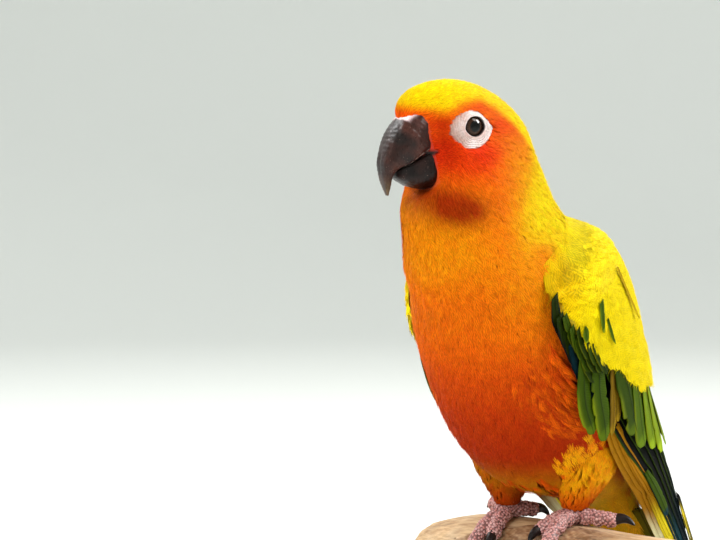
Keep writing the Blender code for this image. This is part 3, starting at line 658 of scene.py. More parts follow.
def tangent_frame(ground, u, v):
    """Steps of a surface at places u and v, and its run and normal there."""
    e = 0.01
    du = (ground.surface(u + e, v, 0.0) - ground.surface(u - e, v, 0.0)) / (2 * e)
    dv = (ground.surface(u, v + e, 0.0) - ground.surface(u, v - e, 0.0)) / (2 * e)
    normal = np.cross(du, dv) * ground.facing
    normal /= np.linalg.norm(normal, axis=-1, keepdims=True)
    run = ground.sense * du / np.linalg.norm(du, axis=-1, keepdims=True)
    return du, dv, run, normal


def in_places(du, dv, way):
    """How a step of one millimetre along way changes the two places."""
    g11 = (du * du).sum(-1)
    g22 = (dv * dv).sum(-1)
    g12 = (du * dv).sum(-1)
    a = (du * way).sum(-1)
    b = (dv * way).sum(-1)
    det = g11 * g22 - g12 * g12
    return (g22 * a - g12 * b) / det, (g11 * b - g12 * a) / det


def lay_feathers(ground, u, v, length, width, lie, pattern, rise, paint, rng, camber, stray, sink):
    """Feathers on a ground, as points, triangles, colours, two maps and normals.

    The root of each lies sink under the surface, and its tip rise over it. On the map, where its root stands,
    the feather is one small patch."""
    s0, t0, loose, faces = pattern
    n = len(u)
    du, dv, run, normal = tangent_frame(ground, u, v)
    across = np.cross(normal, run)
    c = np.cos(lie)[:, None]
    d = np.sin(lie)[:, None]
    run, across = run * c + across * d, across * c - run * d
    along_u, along_v = in_places(du, dv, run)
    side_u, side_v = in_places(du, dv, across)
    draw = rng.random(n)[:, None]
    s = s0 + loose * rng.normal(0.0, stray, (n, len(s0)))
    t = t0 + loose * rng.normal(0.0, stray * 2.0, (n, len(s0)))
    bend = rng.normal(0.0, 0.05, n)[:, None]
    x = s * length[:, None]
    y = t * width[:, None] / 2 + bend * s * s * length[:, None]
    where_u = u[:, None] + x * along_u[:, None] + y * side_u[:, None]
    where_v = v[:, None] + x * along_v[:, None] + y * side_v[:, None]
    lift = rise[:, None] + rng.normal(0.0, 0.06, n)[:, None]
    sunk = sink * np.maximum(1.0 - s, 0.0) ** 1.3
    height = lift * np.maximum(s, 0.0) ** 1.6 - sunk - 0.10 * width[:, None] * t * t
    points = ground.surface(where_u, where_v, height)
    tint = np.broadcast_to(np.clip(paint(points, where_u, where_v, s, t, draw), 0.0, 1.0), points.shape)
    tint = np.concatenate((tint, np.broadcast_to(draw[..., None], (*s.shape, 1))), -1)
    vane = np.stack((y / 10.0, x / 10.0 + draw), -1)
    patch = ground.unwrap(u, v)[:, None, :] + np.stack((t * 0.0015, (s - 0.5) * 0.003), -1)
    shade = normal[:, None] + across[:, None] * (camber * t)[..., None] + run[:, None] * FEATHER_TILT
    shade /= np.linalg.norm(shade, axis=-1, keepdims=True)
    triangles = (faces + (np.arange(n) * len(s0))[:, None, None]).reshape(-1, 3)
    return points.reshape(-1, 3), triangles[:, ::-1], tint.reshape(-1, 4), patch, vane, shade


FEATHER_TILT = 0.1


def gather(name, sets):
    """One coat piece from several sets of feathers."""
    starts = np.cumsum([0] + [len(one[0]) for one in sets[:-1]])
    triangles = np.concatenate([one[1] + start for one, start in zip(sets, starts)])
    points, tint = (np.concatenate([one[i] for one in sets]) for i in (0, 2))
    patch, vane, shade = (
        np.concatenate([one[i].reshape(-1, one[i].shape[-1]) for one in sets]) for i in (3, 4, 5))
    return mesh_object(name, points, triangles, tint, {"OFBake": patch, "Vane": vane}, shade)


def scatter(ground, u_range, v_range, weight, rng, scale=1.0):
    """Places spread evenly over a ground: weight gives how many stand on a square millimetre."""
    u = np.linspace(*u_range, 240)
    v = np.linspace(*v_range, 240)
    uu, vv = np.meshgrid(u, v, indexing="ij")
    du, dv, _, _ = tangent_frame(ground, uu, vv)
    spread = np.linalg.norm(np.cross(du, dv), axis=-1) * weight(uu, vv)
    count = int(scale * spread.sum() * (u[1] - u[0]) * (v[1] - v[0]))
    rows = spread.sum(1).cumsum()
    rows /= rows[-1]
    # two fractions that fill a square evenly, turned into places by the sums of the spread
    n = np.arange(count) + 0.5
    first = (0.37 + n * 0.7548776662466927) % 1.0
    second = (0.11 + n * 0.5698402909980532) % 1.0
    place = np.interp(first, rows, np.arange(len(u)))
    row = np.clip(np.round(place).astype(int), 0, len(u) - 1)
    sums = spread.cumsum(1) + 1e-12 * np.arange(len(v))
    sums /= sums[:, -1:]
    flat = (sums + np.arange(len(u))[:, None]).ravel()
    spot = np.searchsorted(flat, row + second)
    column = np.clip(spot - row * len(v), 0, len(v) - 1)
    near = flat[np.clip(spot, 0, len(flat) - 1)]
    before = flat[np.clip(spot - 1, 0, len(flat) - 1)]
    part = np.clip((row + second - before) / np.maximum(near - before, 1e-9), 0.0, 1.0)
    found_u = np.interp(place, np.arange(len(u)), u)
    found_v = np.interp(column - 1 + part, np.arange(len(v)), v)
    spacing = 1.0 / np.sqrt(np.maximum(weight(found_u, found_v), 1e-6))
    du, dv, _, _ = tangent_frame(ground, found_u, found_v)
    found_u = found_u + rng.normal(0.0, 0.28, count) * spacing / np.linalg.norm(du, axis=-1)
    found_v = found_v + rng.normal(0.0, 0.28, count) * spacing / np.linalg.norm(dv, axis=-1)
    return np.clip(found_u, u_range[0] + 0.01, u_range[1]), found_v


# Places along the body, and the natural length of a feather there
BODY_LENGTHS = ((0, 3, 5, 8, 11, 13, 15, 16.5, 18, 20, 22, 23, 25),
                (17, 16, 13, 12, 11, 9.5, 8, 6.4, 5.0, 4.4, 3.6, 2.7, 2.0))


def ring_reach(angle):
    """Reach of the bare ring round the eye at angles from the bill's side."""
    degrees, reach = zip(*RING_REACH)
    return np.interp(np.degrees(angle) % 360.0, degrees, reach)


def ring_share(points, side):
    """Distance of points from an eye, as a share of the bare ring's reach, and far away on the other side."""
    forward, left, up = in_skull(points)
    f = forward - EYE_FORWARD
    h = up - EYE_UP
    share = np.hypot(f, h) / ring_reach(np.arctan2(h, f))
    return np.where(left * side > 4.0, share, 9.0)


def bill_grid(rows, rings, sides, flat_side, grow=0.0):
    """Rings of a bill half in the skull's plane: forward, left and up, with the place and angle of each."""
    place = np.linspace(0.0, len(rows) - 1, rings)
    row = rows_at(rows, place)
    ridge = row[:, 0:2]
    edge = row[:, 2:4]
    middle = (ridge + edge) / 2
    reach = np.linalg.norm(ridge - edge, axis=1) / 2
    way = (ridge - edge) / (2 * reach)[:, None]
    angle = circle(sides)
    c = np.cos(angle)
    s = np.sin(angle)
    flat = c * flat_side > 0
    rise = np.sign(c) * np.abs(c) ** np.where(flat, 0.32, 0.95)
    if flat_side > 0:
        rise = rise + np.where(flat, 0.45 * np.abs(s) ** 3 * np.sqrt(np.abs(c)), 0.0)
    out = np.sign(s) * np.abs(s) ** np.where(flat, 0.5, 0.9)
    spot = middle[:, None] + way[:, None] * ((reach + grow)[:, None] * rise)[..., None]
    left = (row[:, 4] + grow)[:, None] * out
    return np.stack((spot[..., 0], left, spot[..., 1]), -1), place, angle


def bill_tree(grow):
    """A search tree of both bill halves, a little larger than they are."""
    points, faces = [], []
    for rows, flat_side in ((UPPER_BILL, -1), (LOWER_BILL, 1)):
        grid, _, _ = bill_grid(rows, 24, 28, flat_side, grow)
        start = len(points)
        points += [Vector(p) for p in head_points(grid).reshape(-1, 3)]
        faces += (grid_triangles(24, 28, True) + start).tolist()
    return BVHTree.FromPolygons(points, faces)


def clear_of_bill(points):
    """Which points lie outside the bill."""
    tree = bill_tree(0.25)
    centre = head_point(18.0, 0.0, 120.0)
    keep = np.ones(len(points), bool)
    near = np.linalg.norm(points - centre, axis=1) < 22.0
    for i in np.nonzero(near)[0]:
        spot, normal, _, distance = tree.find_nearest(Vector(points[i]))
        if distance < 0.35 or (Vector(points[i]) - spot).dot(normal) * TREE_SIDE < 0.0:
            keep[i] = False
    return keep


def tree_side():
    """Sign of the bill tree's normals, seen from a point well outside it."""
    out = Vector(head_point(40.0, 0.0, 124.0))
    spot, normal, _, _ = bill_tree(0.25).find_nearest(out)
    return 1.0 if (out - spot).dot(normal) > 0 else -1.0


TREE_SIDE = tree_side()


def wing_edges(place):
    """Angles on the body between which the folded wing lies, at places of the body's sections."""
    distances = np.array([row[0] for row in reversed(TORSO)])
    distance = np.interp(place, np.arange(len(distances)), distances)
    first = np.interp(distance, WING_FORM[:, 0], WING_FORM[:, 5])
    last = np.interp(distance, WING_FORM[:, 0], WING_FORM[:, 6])
    return np.radians(first), np.radians(last)


def body_unwrap(u, v):
    """Where a place of the body lies on its map."""
    return np.stack((0.012 + 0.97 * ((v / math.tau) % 1.0), 0.012 + 0.97 * u / LAST_PLACE), -1)


BODY = Ground(body_surface, 1, -1, body_unwrap)


def lay_body_feathers(settings):
    """The coat of the head, neck and torso, in pieces by region."""
    rng = np.random.default_rng(settings.seed)

    def natural(u, v):
        root = body_surface(u, v, 0.0)
        near = smoothstep(1.0, 1.7, np.minimum(ring_share(root, 1), ring_share(root, -1)))
        return np.interp(u, *BODY_LENGTHS) * settings.feather_length * (0.55 + 0.45 * near)

    def weight(u, v):
        turn = from_back(v)
        first, last = wing_edges(u)
        hidden = (turn > first + 0.25) & (turn < last - 0.28) & (u < 13.0) & (u > 2.0)
        return np.where(hidden, 0.12, 1.0) / (0.034 * natural(u, v) ** 1.9)

    u, v = scatter(BODY, (0.2, LAST_PLACE - 0.3), (0.0, math.tau), weight, rng, settings.coat_closeness)
    length = natural(u, v) * rng.normal(1.0, 0.09, len(u))
    root = body_surface(u, v, 0.0)
    keep = clear_of_bill(body_surface(u, v, -0.3)) & (gape_share(root) > 1.0)
    for side in (1, -1):
        keep &= ring_share(root, side) > 1.0
    u, v, length, root = u[keep], v[keep], length[keep], root[keep]
    # feathers that would lie over the bare ring are shorter
    ring_edge = np.where(in_skull(root)[0] > EYE_FORWARD + 1.0, 0.72, 0.93)
    du, dv, run, _ = tangent_frame(BODY, u, v)
    step_u, step_v = in_places(du, dv, run)
    for side in (1, -1):
        for part in (1.0, 0.8, 0.6, 0.45):
            tip = body_surface(u + step_u * length * part, v + step_v * length * part, 0.0)
            length = np.where(ring_share(tip, side) < ring_edge, length * 0.82, length)
    lie = rng.normal(0.0, 0.13, len(u))
    width = length * np.interp(u, (0, 8, 16, 20, 25), (0.42, 0.38, 0.40, 0.42, 0.42))
    rise = np.interp(u, (0, 8, 14, 18, 25), (0.45, 0.5, 0.38, 0.24, 0.12)) + rng.random(len(u)) * 0.12
    sink = np.interp(u, (0, 12, 16, 19, 25), (2.2, 2.2, 1.7, 1.1, 0.5))

    def paint(points, where_u, where_v, s, t, draw):
        warm = draw - 0.5
        tip = smoothstep(0.45, 1.0, s)
        tint = plumage_colour(settings, points, where_u, where_v)
        # darker and redder towards each feather's root: partly its own colour, partly painted shade where the
        # feathers overlap
        tint = tint * (0.92 + 0.10 * tip + 0.10 * warm)[..., None]
        tint[..., 1] *= 1.0 + 0.22 * warm + 0.18 * (tip - 0.5)
        return tint

    front = from_back(v) > 1.3
    regions = (
        ("face_feathers", u > 20.6), ("crown_feathers", (u <= 20.6) & (u > 17.2)),
        ("neck_feathers", (u <= 17.2) & (u > 13.0)), ("breast_feathers", (u <= 13.0) & (u > 9.0) & front),
        ("belly_feathers", (u <= 9.0) & front), ("back_feathers", (u <= 13.0) & ~front),
    )
    made = []
    for name, region in regions:
        sets = []
        for low, high, pattern, camber in (
                (0.0, 3.5, FINE_VANE, 0.25), (3.5, 7.2, MIDDLE_VANE, 0.30), (7.2, 99.0, BROAD_VANE, 0.30)):
            pick = region & (length >= low) & (length < high)
            if pick.any():
                sets.append(lay_feathers(
                    BODY, u[pick], v[pick], length[pick], width[pick], lie[pick], pattern, rise[pick], paint,
                    rng, camber, 0.07, sink[pick].mean()))
        made.append(gather(name, sets))
    return made


def lay_thigh_feathers(settings):
    """The coat of both thighs."""
    rng = np.random.default_rng(settings.seed + 1)
    gold, yellow, flame = shades(settings, "gold", "yellow", "flame")
    sets = []
    for side in (1, -1):
        def weight(u, v):
            return 1.0 / (0.05 * np.interp(u, (0, 3, 5), (9.0, 7.0, 4.5)) ** 1.9)

        def paint(points, where_u, where_v, s, t, draw):
            tint = blend(0.8 * gold + 0.2 * yellow, gold * (1.0, 0.6, 1.0), draw)
            tint = blend(tint, flame * (0.95, 1.1, 1.0), 0.85 * smoothstep(16.0, 5.0, points[..., 2]))
            # the left thigh is painted lighter and the right one much darker: painted light and painted shade
            tint = tint * (1.15 if side > 0 else (0.55, 0.42, 0.6))
            # darker towards each feather's root: partly its own colour, partly painted shade where the
            # feathers overlap
            return tint * (0.90 + 0.14 * smoothstep(0.4, 1.0, s) + 0.12 * (draw - 0.5))[..., None]

        def unwrap(a, b):
            start = 0.02 if side > 0 else 0.52
            return np.stack((start + 0.45 * ((b / math.tau) % 1.0), 0.02 + 0.19 * a), -1)

        thigh = Ground(thigh_surface(side), 1, 1, unwrap)
        u, v = scatter(thigh, (0.02, 4.4), (0.0, math.tau), weight, rng, settings.coat_closeness)
        length = np.interp(u, (0, 3, 4, 5), (9.5, 7.0, 5.0, 3.4)) * rng.normal(1.0, 0.1, len(u))
        sets.append(lay_feathers(
            thigh, u, v, length, length * 0.40, rng.normal(0.0, 0.16, len(u)), BROAD_VANE,
            0.4 + 0.3 * rng.random(len(u)), paint, rng, 0.35, 0.06, 1.6))
        count = 110
        u = rng.uniform(0.0, 2.9, count)
        v = rng.uniform(0.0, math.tau, count)
        length = np.interp(u, (0, 3), (12.0, 8.0)) * rng.normal(1.0, 0.12, count)
        sets.append(lay_feathers(
            thigh, u, v, length, length * 0.30, rng.normal(0.0, 0.18, count), LOOSE_VANE,
            0.35 + 0.3 * rng.random(count), paint, rng, 0.5, 0.03, 1.2))
        count = 46
        place = rng.uniform(8.3, 9.3, count)
        angle = np.radians(rng.uniform(106.0, 142.0, count))
        length = rng.uniform(11.0, 16.0, count)
        sets.append(lay_feathers(
            BODY, place, angle if side > 0 else math.tau - angle, length, length * 0.34,
            rng.normal(0.0, 0.12, count), MIDDLE_VANE, 0.6 + 0.4 * rng.random(count), paint, rng,
            0.35, 0.03, 1.2))
    return gather("thigh_feathers", sets)


def lay_plumes(settings):
    """Loose plumes on the flanks and between the legs, and the coverts under the tail's root."""
    rng = np.random.default_rng(settings.seed + 2)
    orange, flame = shades(settings, "orange", "flame")
    sets = []

    def paint(points, where_u, where_v, s, t, draw):
        tint = blend(flame * (0.62, 0.4, 1.0), flame * (1.0, 1.1, 1.0), draw)
        tint = blend(tint, orange * (1.0, 0.85, 1.0), 0.9 * smoothstep(0.3, 0.9, s) * (0.3 + 0.7 * draw))
        return tint * (0.9 + 0.3 * (draw[..., None] - 0.5))

    def paint_under_tail(points, where_u, where_v, s, t, draw):
        return blend((0.72, 0.30, 0.004), (0.50, 0.30, 0.006), draw) * (0.9 + 0.2 * s[..., None])

    for side in (1, -1):
        form = wing_surface(side)

        def surface(distance, share, height):
            under = 0.6 * covert_height(distance, share) * smoothstep(1.08, 0.98, share)
            return form(distance, share, under + height)

        count = 150
        distance = rng.uniform(28.0, 56.0, count)
        share = front_edge(distance) + rng.uniform(0.03, 0.30, count)
        length = rng.uniform(9.0, 15.0, count)
        sets.append(lay_feathers(
            Ground(surface, -side, 1, wing_unwrap), distance, share, length, rng.uniform(1.0, 2.2, count),
            rng.normal(0.16, 0.11, count), MIDDLE_VANE, 0.45 + 0.3 * rng.random(count), paint, rng,
            0.55, 0.02, 0.8))
    count = 40
    place = rng.uniform(6.6, 8.5, count)
    angle = math.pi + rng.normal(0.0, 0.4, count)
    length = rng.uniform(8.0, 14.0, count)
    sets.append(lay_feathers(
        BODY, place, angle, length, length * 0.45, rng.normal(0.0, 0.25, count), LOOSE_VANE,
        0.7 + 0.5 * rng.random(count), paint, rng, 0.4, 0.05, 1.0))
    count = 90
    place = rng.uniform(2.2, 6.0, count)
    angle = math.pi + rng.choice((-1.0, 1.0), count) * rng.uniform(0.15, 1.55, count)
    length = rng.uniform(13.0, 19.0, count)
    sets.append(lay_feathers(
        BODY, place, angle, length, length * 0.42, rng.normal(0.0, 0.12, count), BROAD_VANE,
        0.7 + 0.9 * rng.random(count), paint_under_tail, rng, 0.25, 0.05, 1.2))
    return gather("flank_plumes", sets)


# Wings

def covert_edge(share):
    """Distance along the axis where the yellow coverts end."""
    return np.interp(
        share, (0.0, 0.2, 0.4, 0.56, 0.63, 0.71, 0.745, 0.80, 0.85, 0.89, 0.93, 0.98, 1.02, 1.07, 1.16),
        (78.0, 80.0, 80.0, 77.0, 72.0, 62.0, 53.0, 48.0, 44.5, 35.0, 30.0, 25.0, 22.5, 19.0, 16.0))


def front_edge(distance):
    """Share at which the wing's front edge shows: lower down it is under the flank's plumage."""
    return np.interp(distance, (12.0, 16.0, 20.0, 24.0, 28.0, 32.0, 37.0, 42.0, 47.0, 56.0, 66.0),
                     (1.20, 1.15, 1.10, 1.05, 1.01, 0.985, 0.965, 0.955, 0.96, 0.985, 1.0))


def wing_unwrap(u, v):
    """Where a place of the wing lies on its map."""
    return np.stack((0.03 + 0.94 * np.clip(v, 0.0, 1.0), 0.03 + 0.94 * np.clip(u / 170.0, 0.0, 1.0)), -1)


def lay_wing_coverts(settings, side):
    """The yellow coverts of one wing, from the small ones at the shoulder to the long lowest row."""
    rng = np.random.default_rng(settings.seed + 3 + side)
    form = wing_surface(side)
    yellow, gold = shades(settings, "yellow", "gold")
    bright = yellow * (1.0, 1.10, 1.0)

    def surface(distance, share, height):
        return form(distance, share, covert_height(distance, share) + height)

    def paint(points, where_u, where_v, s, t, draw):
        base = blend(bright, bright * (0.93, 0.80, 1.0), smoothstep(0.5, 0.0, s))
        front = smoothstep(0.82, 1.0, where_v) * smoothstep(34.0, 14.0, where_u)
        return blend(base, gold, 0.45 * front) * (0.94 + 0.12 * (draw[..., None] - 0.5))

    def edged(points, where_u, where_v, s, t, draw):
        rear = smoothstep(0.42, 0.25, where_v) * smoothstep(0.4, 0.7, draw)
        line = smoothstep(0.55, 0.8, t) * smoothstep(0.2, 0.5, s) * smoothstep(1.0, 0.85, s) * rear
        return blend(paint(points, where_u, where_v, s, t, draw), (0.34, 0.20, 0.004), 0.8 * line)

    def weight(u, v):
        over = smoothstep(3.0, -6.0, u - covert_edge(v))
        return (0.02 + over) / (0.045 * np.interp(u, (10, 30, 60), (6.0, 8.0, 10.0)) ** 1.9)

    wing = Ground(surface, -side, 1, wing_unwrap)
    u, v = scatter(wing, (8.2, 62.0), (0.0, 1.20), weight, rng)
    keep = u < covert_edge(v) - np.interp(v, (0.9, 1.1), (9.0, 6.0))
    keep &= v < front_edge(u + 5.0) + (0.01 if side > 0 else -0.10)
    u, v = u[keep], v[keep]
    length = np.interp(u, (10, 30, 60), (6.5, 8.5, 11.0)) * rng.normal(1.0, 0.08, len(u))
    sets = [lay_feathers(
        wing, u, v, length, length * 0.62, rng.normal(0.0, 0.1, len(u)), COVERT_VANE,
        0.30 + 0.2 * rng.random(len(u)), paint, rng, 0.30, 0.02, 1.1)]
    for row, (back_off, length_at, count) in enumerate(((0.0, 17.0, 34), (6.0, 16.0, 32), (12.5, 14.0, 30))):
        share = (1.13 if side > 0 else 0.98) * (np.arange(count) + 0.5) / count
        share = np.clip(share + rng.normal(0.0, 0.006, count), 0.0, 1.13)
        tip = covert_edge(share) - back_off + rng.normal(0.0, 1.0, count)
        long = length_at * np.interp(share, (0.0, 0.5, 0.85, 1.0), (1.25, 1.15, 0.9, 0.6))
        root = np.maximum(tip - long, 8.5)
        pick = tip > root + 4.5
        root, share, long = root[pick], share[pick], (tip - root)[pick]
        sets.append(lay_feathers(
            wing, root, share, long, np.interp(share, (0, 0.6, 1, 1.1), (8.6, 7.4, 4.6, 3.6)),
            rng.normal(0.0, 0.05, len(root)), COVERT_VANE, 0.4 + 0.2 * row + 0.2 * rng.random(len(root)),
            edged if row == 0 else paint, rng, 0.30, 0.02, 1.0))
    return gather(f"yellow_coverts_{SIDE_NAMES[side]}", sets)


VANE_ACROSS = np.array((-1.0, -0.86, -0.62, -0.34, -0.09, 0.0, 0.09, 0.34, 0.62, 0.86, 1.0))


def long_vane(place_on, root, tip, share, tip_share, half, height, roll, paint, rng,
              rows=26, shaft=0.0, point=0.28, narrow_root=0.72):
    """One long feather as a thin closed plate, with a raised shaft, a rounded tip and small splits."""
    t = np.linspace(0.0, 1.0, rows) ** 0.92
    part = t[:, None]
    line = VANE_ACROSS[None, :]
    centre = share + (tip_share - share) * part
    taper = np.sqrt(np.maximum(0.004, 1.0 - np.clip((t - (1.0 - point)) / point, 0.0, 1.0) ** 2.2))
    reach = (half * (narrow_root + (1.0 - narrow_root) * np.clip(t / 0.35, 0.0, 1.0)) * taper)[:, None]
    edge = np.ones((rows, 2))
    for side in (0, 1):
        edge[:, side] += 0.02 * rng.normal(0.0, 1.0, rows)
        for _ in range(rng.integers(0, 3)):
            cut = rng.integers(int(rows * 0.35), rows - 2)
            edge[cut, side] -= rng.uniform(0.12, 0.35)
    outer = np.clip((np.abs(line) - 0.62) / 0.38, 0.0, 1.0)
    pull = np.where(line < 0, edge[:, :1], edge[:, 1:])
    across = line * reach * (1.0 + (pull - 1.0) * outer) + shaft * reach * (1.0 - line ** 2)
    level = height + roll * across / half - 0.05 * (across / half) ** 2 * half
    level = level + 0.22 * np.exp(-(line / 0.07) ** 2) * (1.0 - 0.6 * part)
    thick = 0.16 + 0.20 * np.exp(-(line / 0.3) ** 2) * (1.0 - part * 0.7)
    along = root + (tip - root) * np.broadcast_to(part, across.shape)
    upper = place_on(along, centre, across, level + thick / 2)
    lower = place_on(along, centre, across, level - thick / 2)
    columns = len(VANE_ACROSS)
    count = rows * columns
    face = grid_triangles(rows, columns)
    # bands along both margins and over both ends close the plate
    bands = []
    for j in (0, columns - 1):
        a = np.arange(rows - 1) * columns + j
        b = a + columns
        pair = np.stack((np.stack((a, b, b + count), -1), np.stack((a, b + count, a + count), -1)), 1)
        bands.append(pair.reshape(-1, 3) if j == 0 else pair.reshape(-1, 3)[:, ::-1])
    for i in (0, rows - 1):
        a = i * columns + np.arange(columns - 1)
        b = a + 1
        pair = np.stack((np.stack((a, b + count, b), -1), np.stack((a, a + count, b + count), -1)), 1)
        bands.append(pair.reshape(-1, 3) if i == 0 else pair.reshape(-1, 3)[:, ::-1])
    triangles = np.concatenate([face, face[:, ::-1] + count] + bands)
    points = np.concatenate((upper.reshape(-1, 3), lower.reshape(-1, 3)))
    s, w = np.broadcast_arrays(part, line)
    tint = np.concatenate((paint(s, w, 1).reshape(-1, 3), paint(s, w, -1).reshape(-1, 3)))
    spots = np.stack((across / 10.0, s * (tip - root) / 10.0), -1).reshape(-1, 2)
    return points, triangles, tint, np.concatenate((spots, spots))


def turned_out(points, triangles):
    """The same closed plate with its faces pointing out."""
    a, b, c = (points[triangles[:, i]] for i in range(3))
    if (np.cross(a, b) * c).sum() < 0:
        return triangles[:, ::-1]
    return triangles


def gather_vanes(name, vanes):
    """One piece from several long feathers."""
    starts = np.cumsum([0] + [len(one[0]) for one in vanes[:-1]])
    triangles = np.concatenate([turned_out(one[0], one[1]) + start for one, start in zip(vanes, starts)])
    points, tint, spots = (np.concatenate([one[i] for one in vanes]) for i in (0, 2, 3))
    return mesh_object(name, points, triangles, tint, {"Vane": spots})


def vane_paint(base, inner, outer, tip, shaft, width=0.3, start=0.0, tip_from=0.84):
    """Colours of a long feather: its web, each margin, its tip and its shaft."""
    def paint(s, w, face):
        along = smoothstep(start, start + 0.3, s)
        tint = blend(base, inner, smoothstep(1.0 - width, 1.0 - 0.25 * width, -w) * along)
        tint = blend(tint, outer, smoothstep(1.0 - width, 1.0 - 0.25 * width, w) * along)
        tint = blend(tint, tip, smoothstep(tip_from, 0.5 + 0.49 * tip_from, s))
        tint = blend(tint, shaft, 0.7 * smoothstep(0.12, 0.02, np.abs(w)))
        return tint * (1.0 if face > 0 else 0.55)
    return paint


def wing_width(surface, distance):
    """Width of the wing's form from its back edge to its front edge, at distances."""
    share = np.linspace(0.0, 1.0, 9)
    spots = surface(distance[..., None], share, 0.0)
    return np.linalg.norm(np.diff(spots, axis=-2), axis=-1).sum(-1)


# Distance and share of the root, distance and share of the tip, half width, and how bright
GREATER_COVERTS = (
    (35.0, 0.89, 64.0, 1.070, 2.5, 0.9), (37.0, 0.79, 70.0, 1.045, 3.0, 1.0),
    (46.0, 0.70, 79.0, 0.875, 4.2, 0.8), (54.0, 0.60, 87.0, 0.880, 3.9, 1.5),
    (60.0, 0.50, 93.0, 0.800, 4.1, 2.5), (64.0, 0.40, 99.0, 0.720, 4.3, 3.4),
    (68.0, 0.30, 102.0, 0.560, 3.9, 2.2), (70.0, 0.20, 104.0, 0.400, 4.0, 1.7),
    (71.0, 0.11, 104.0, 0.240, 4.0, 1.5), (70.0, 0.05, 102.0, 0.100, 3.8, 1.4),
)


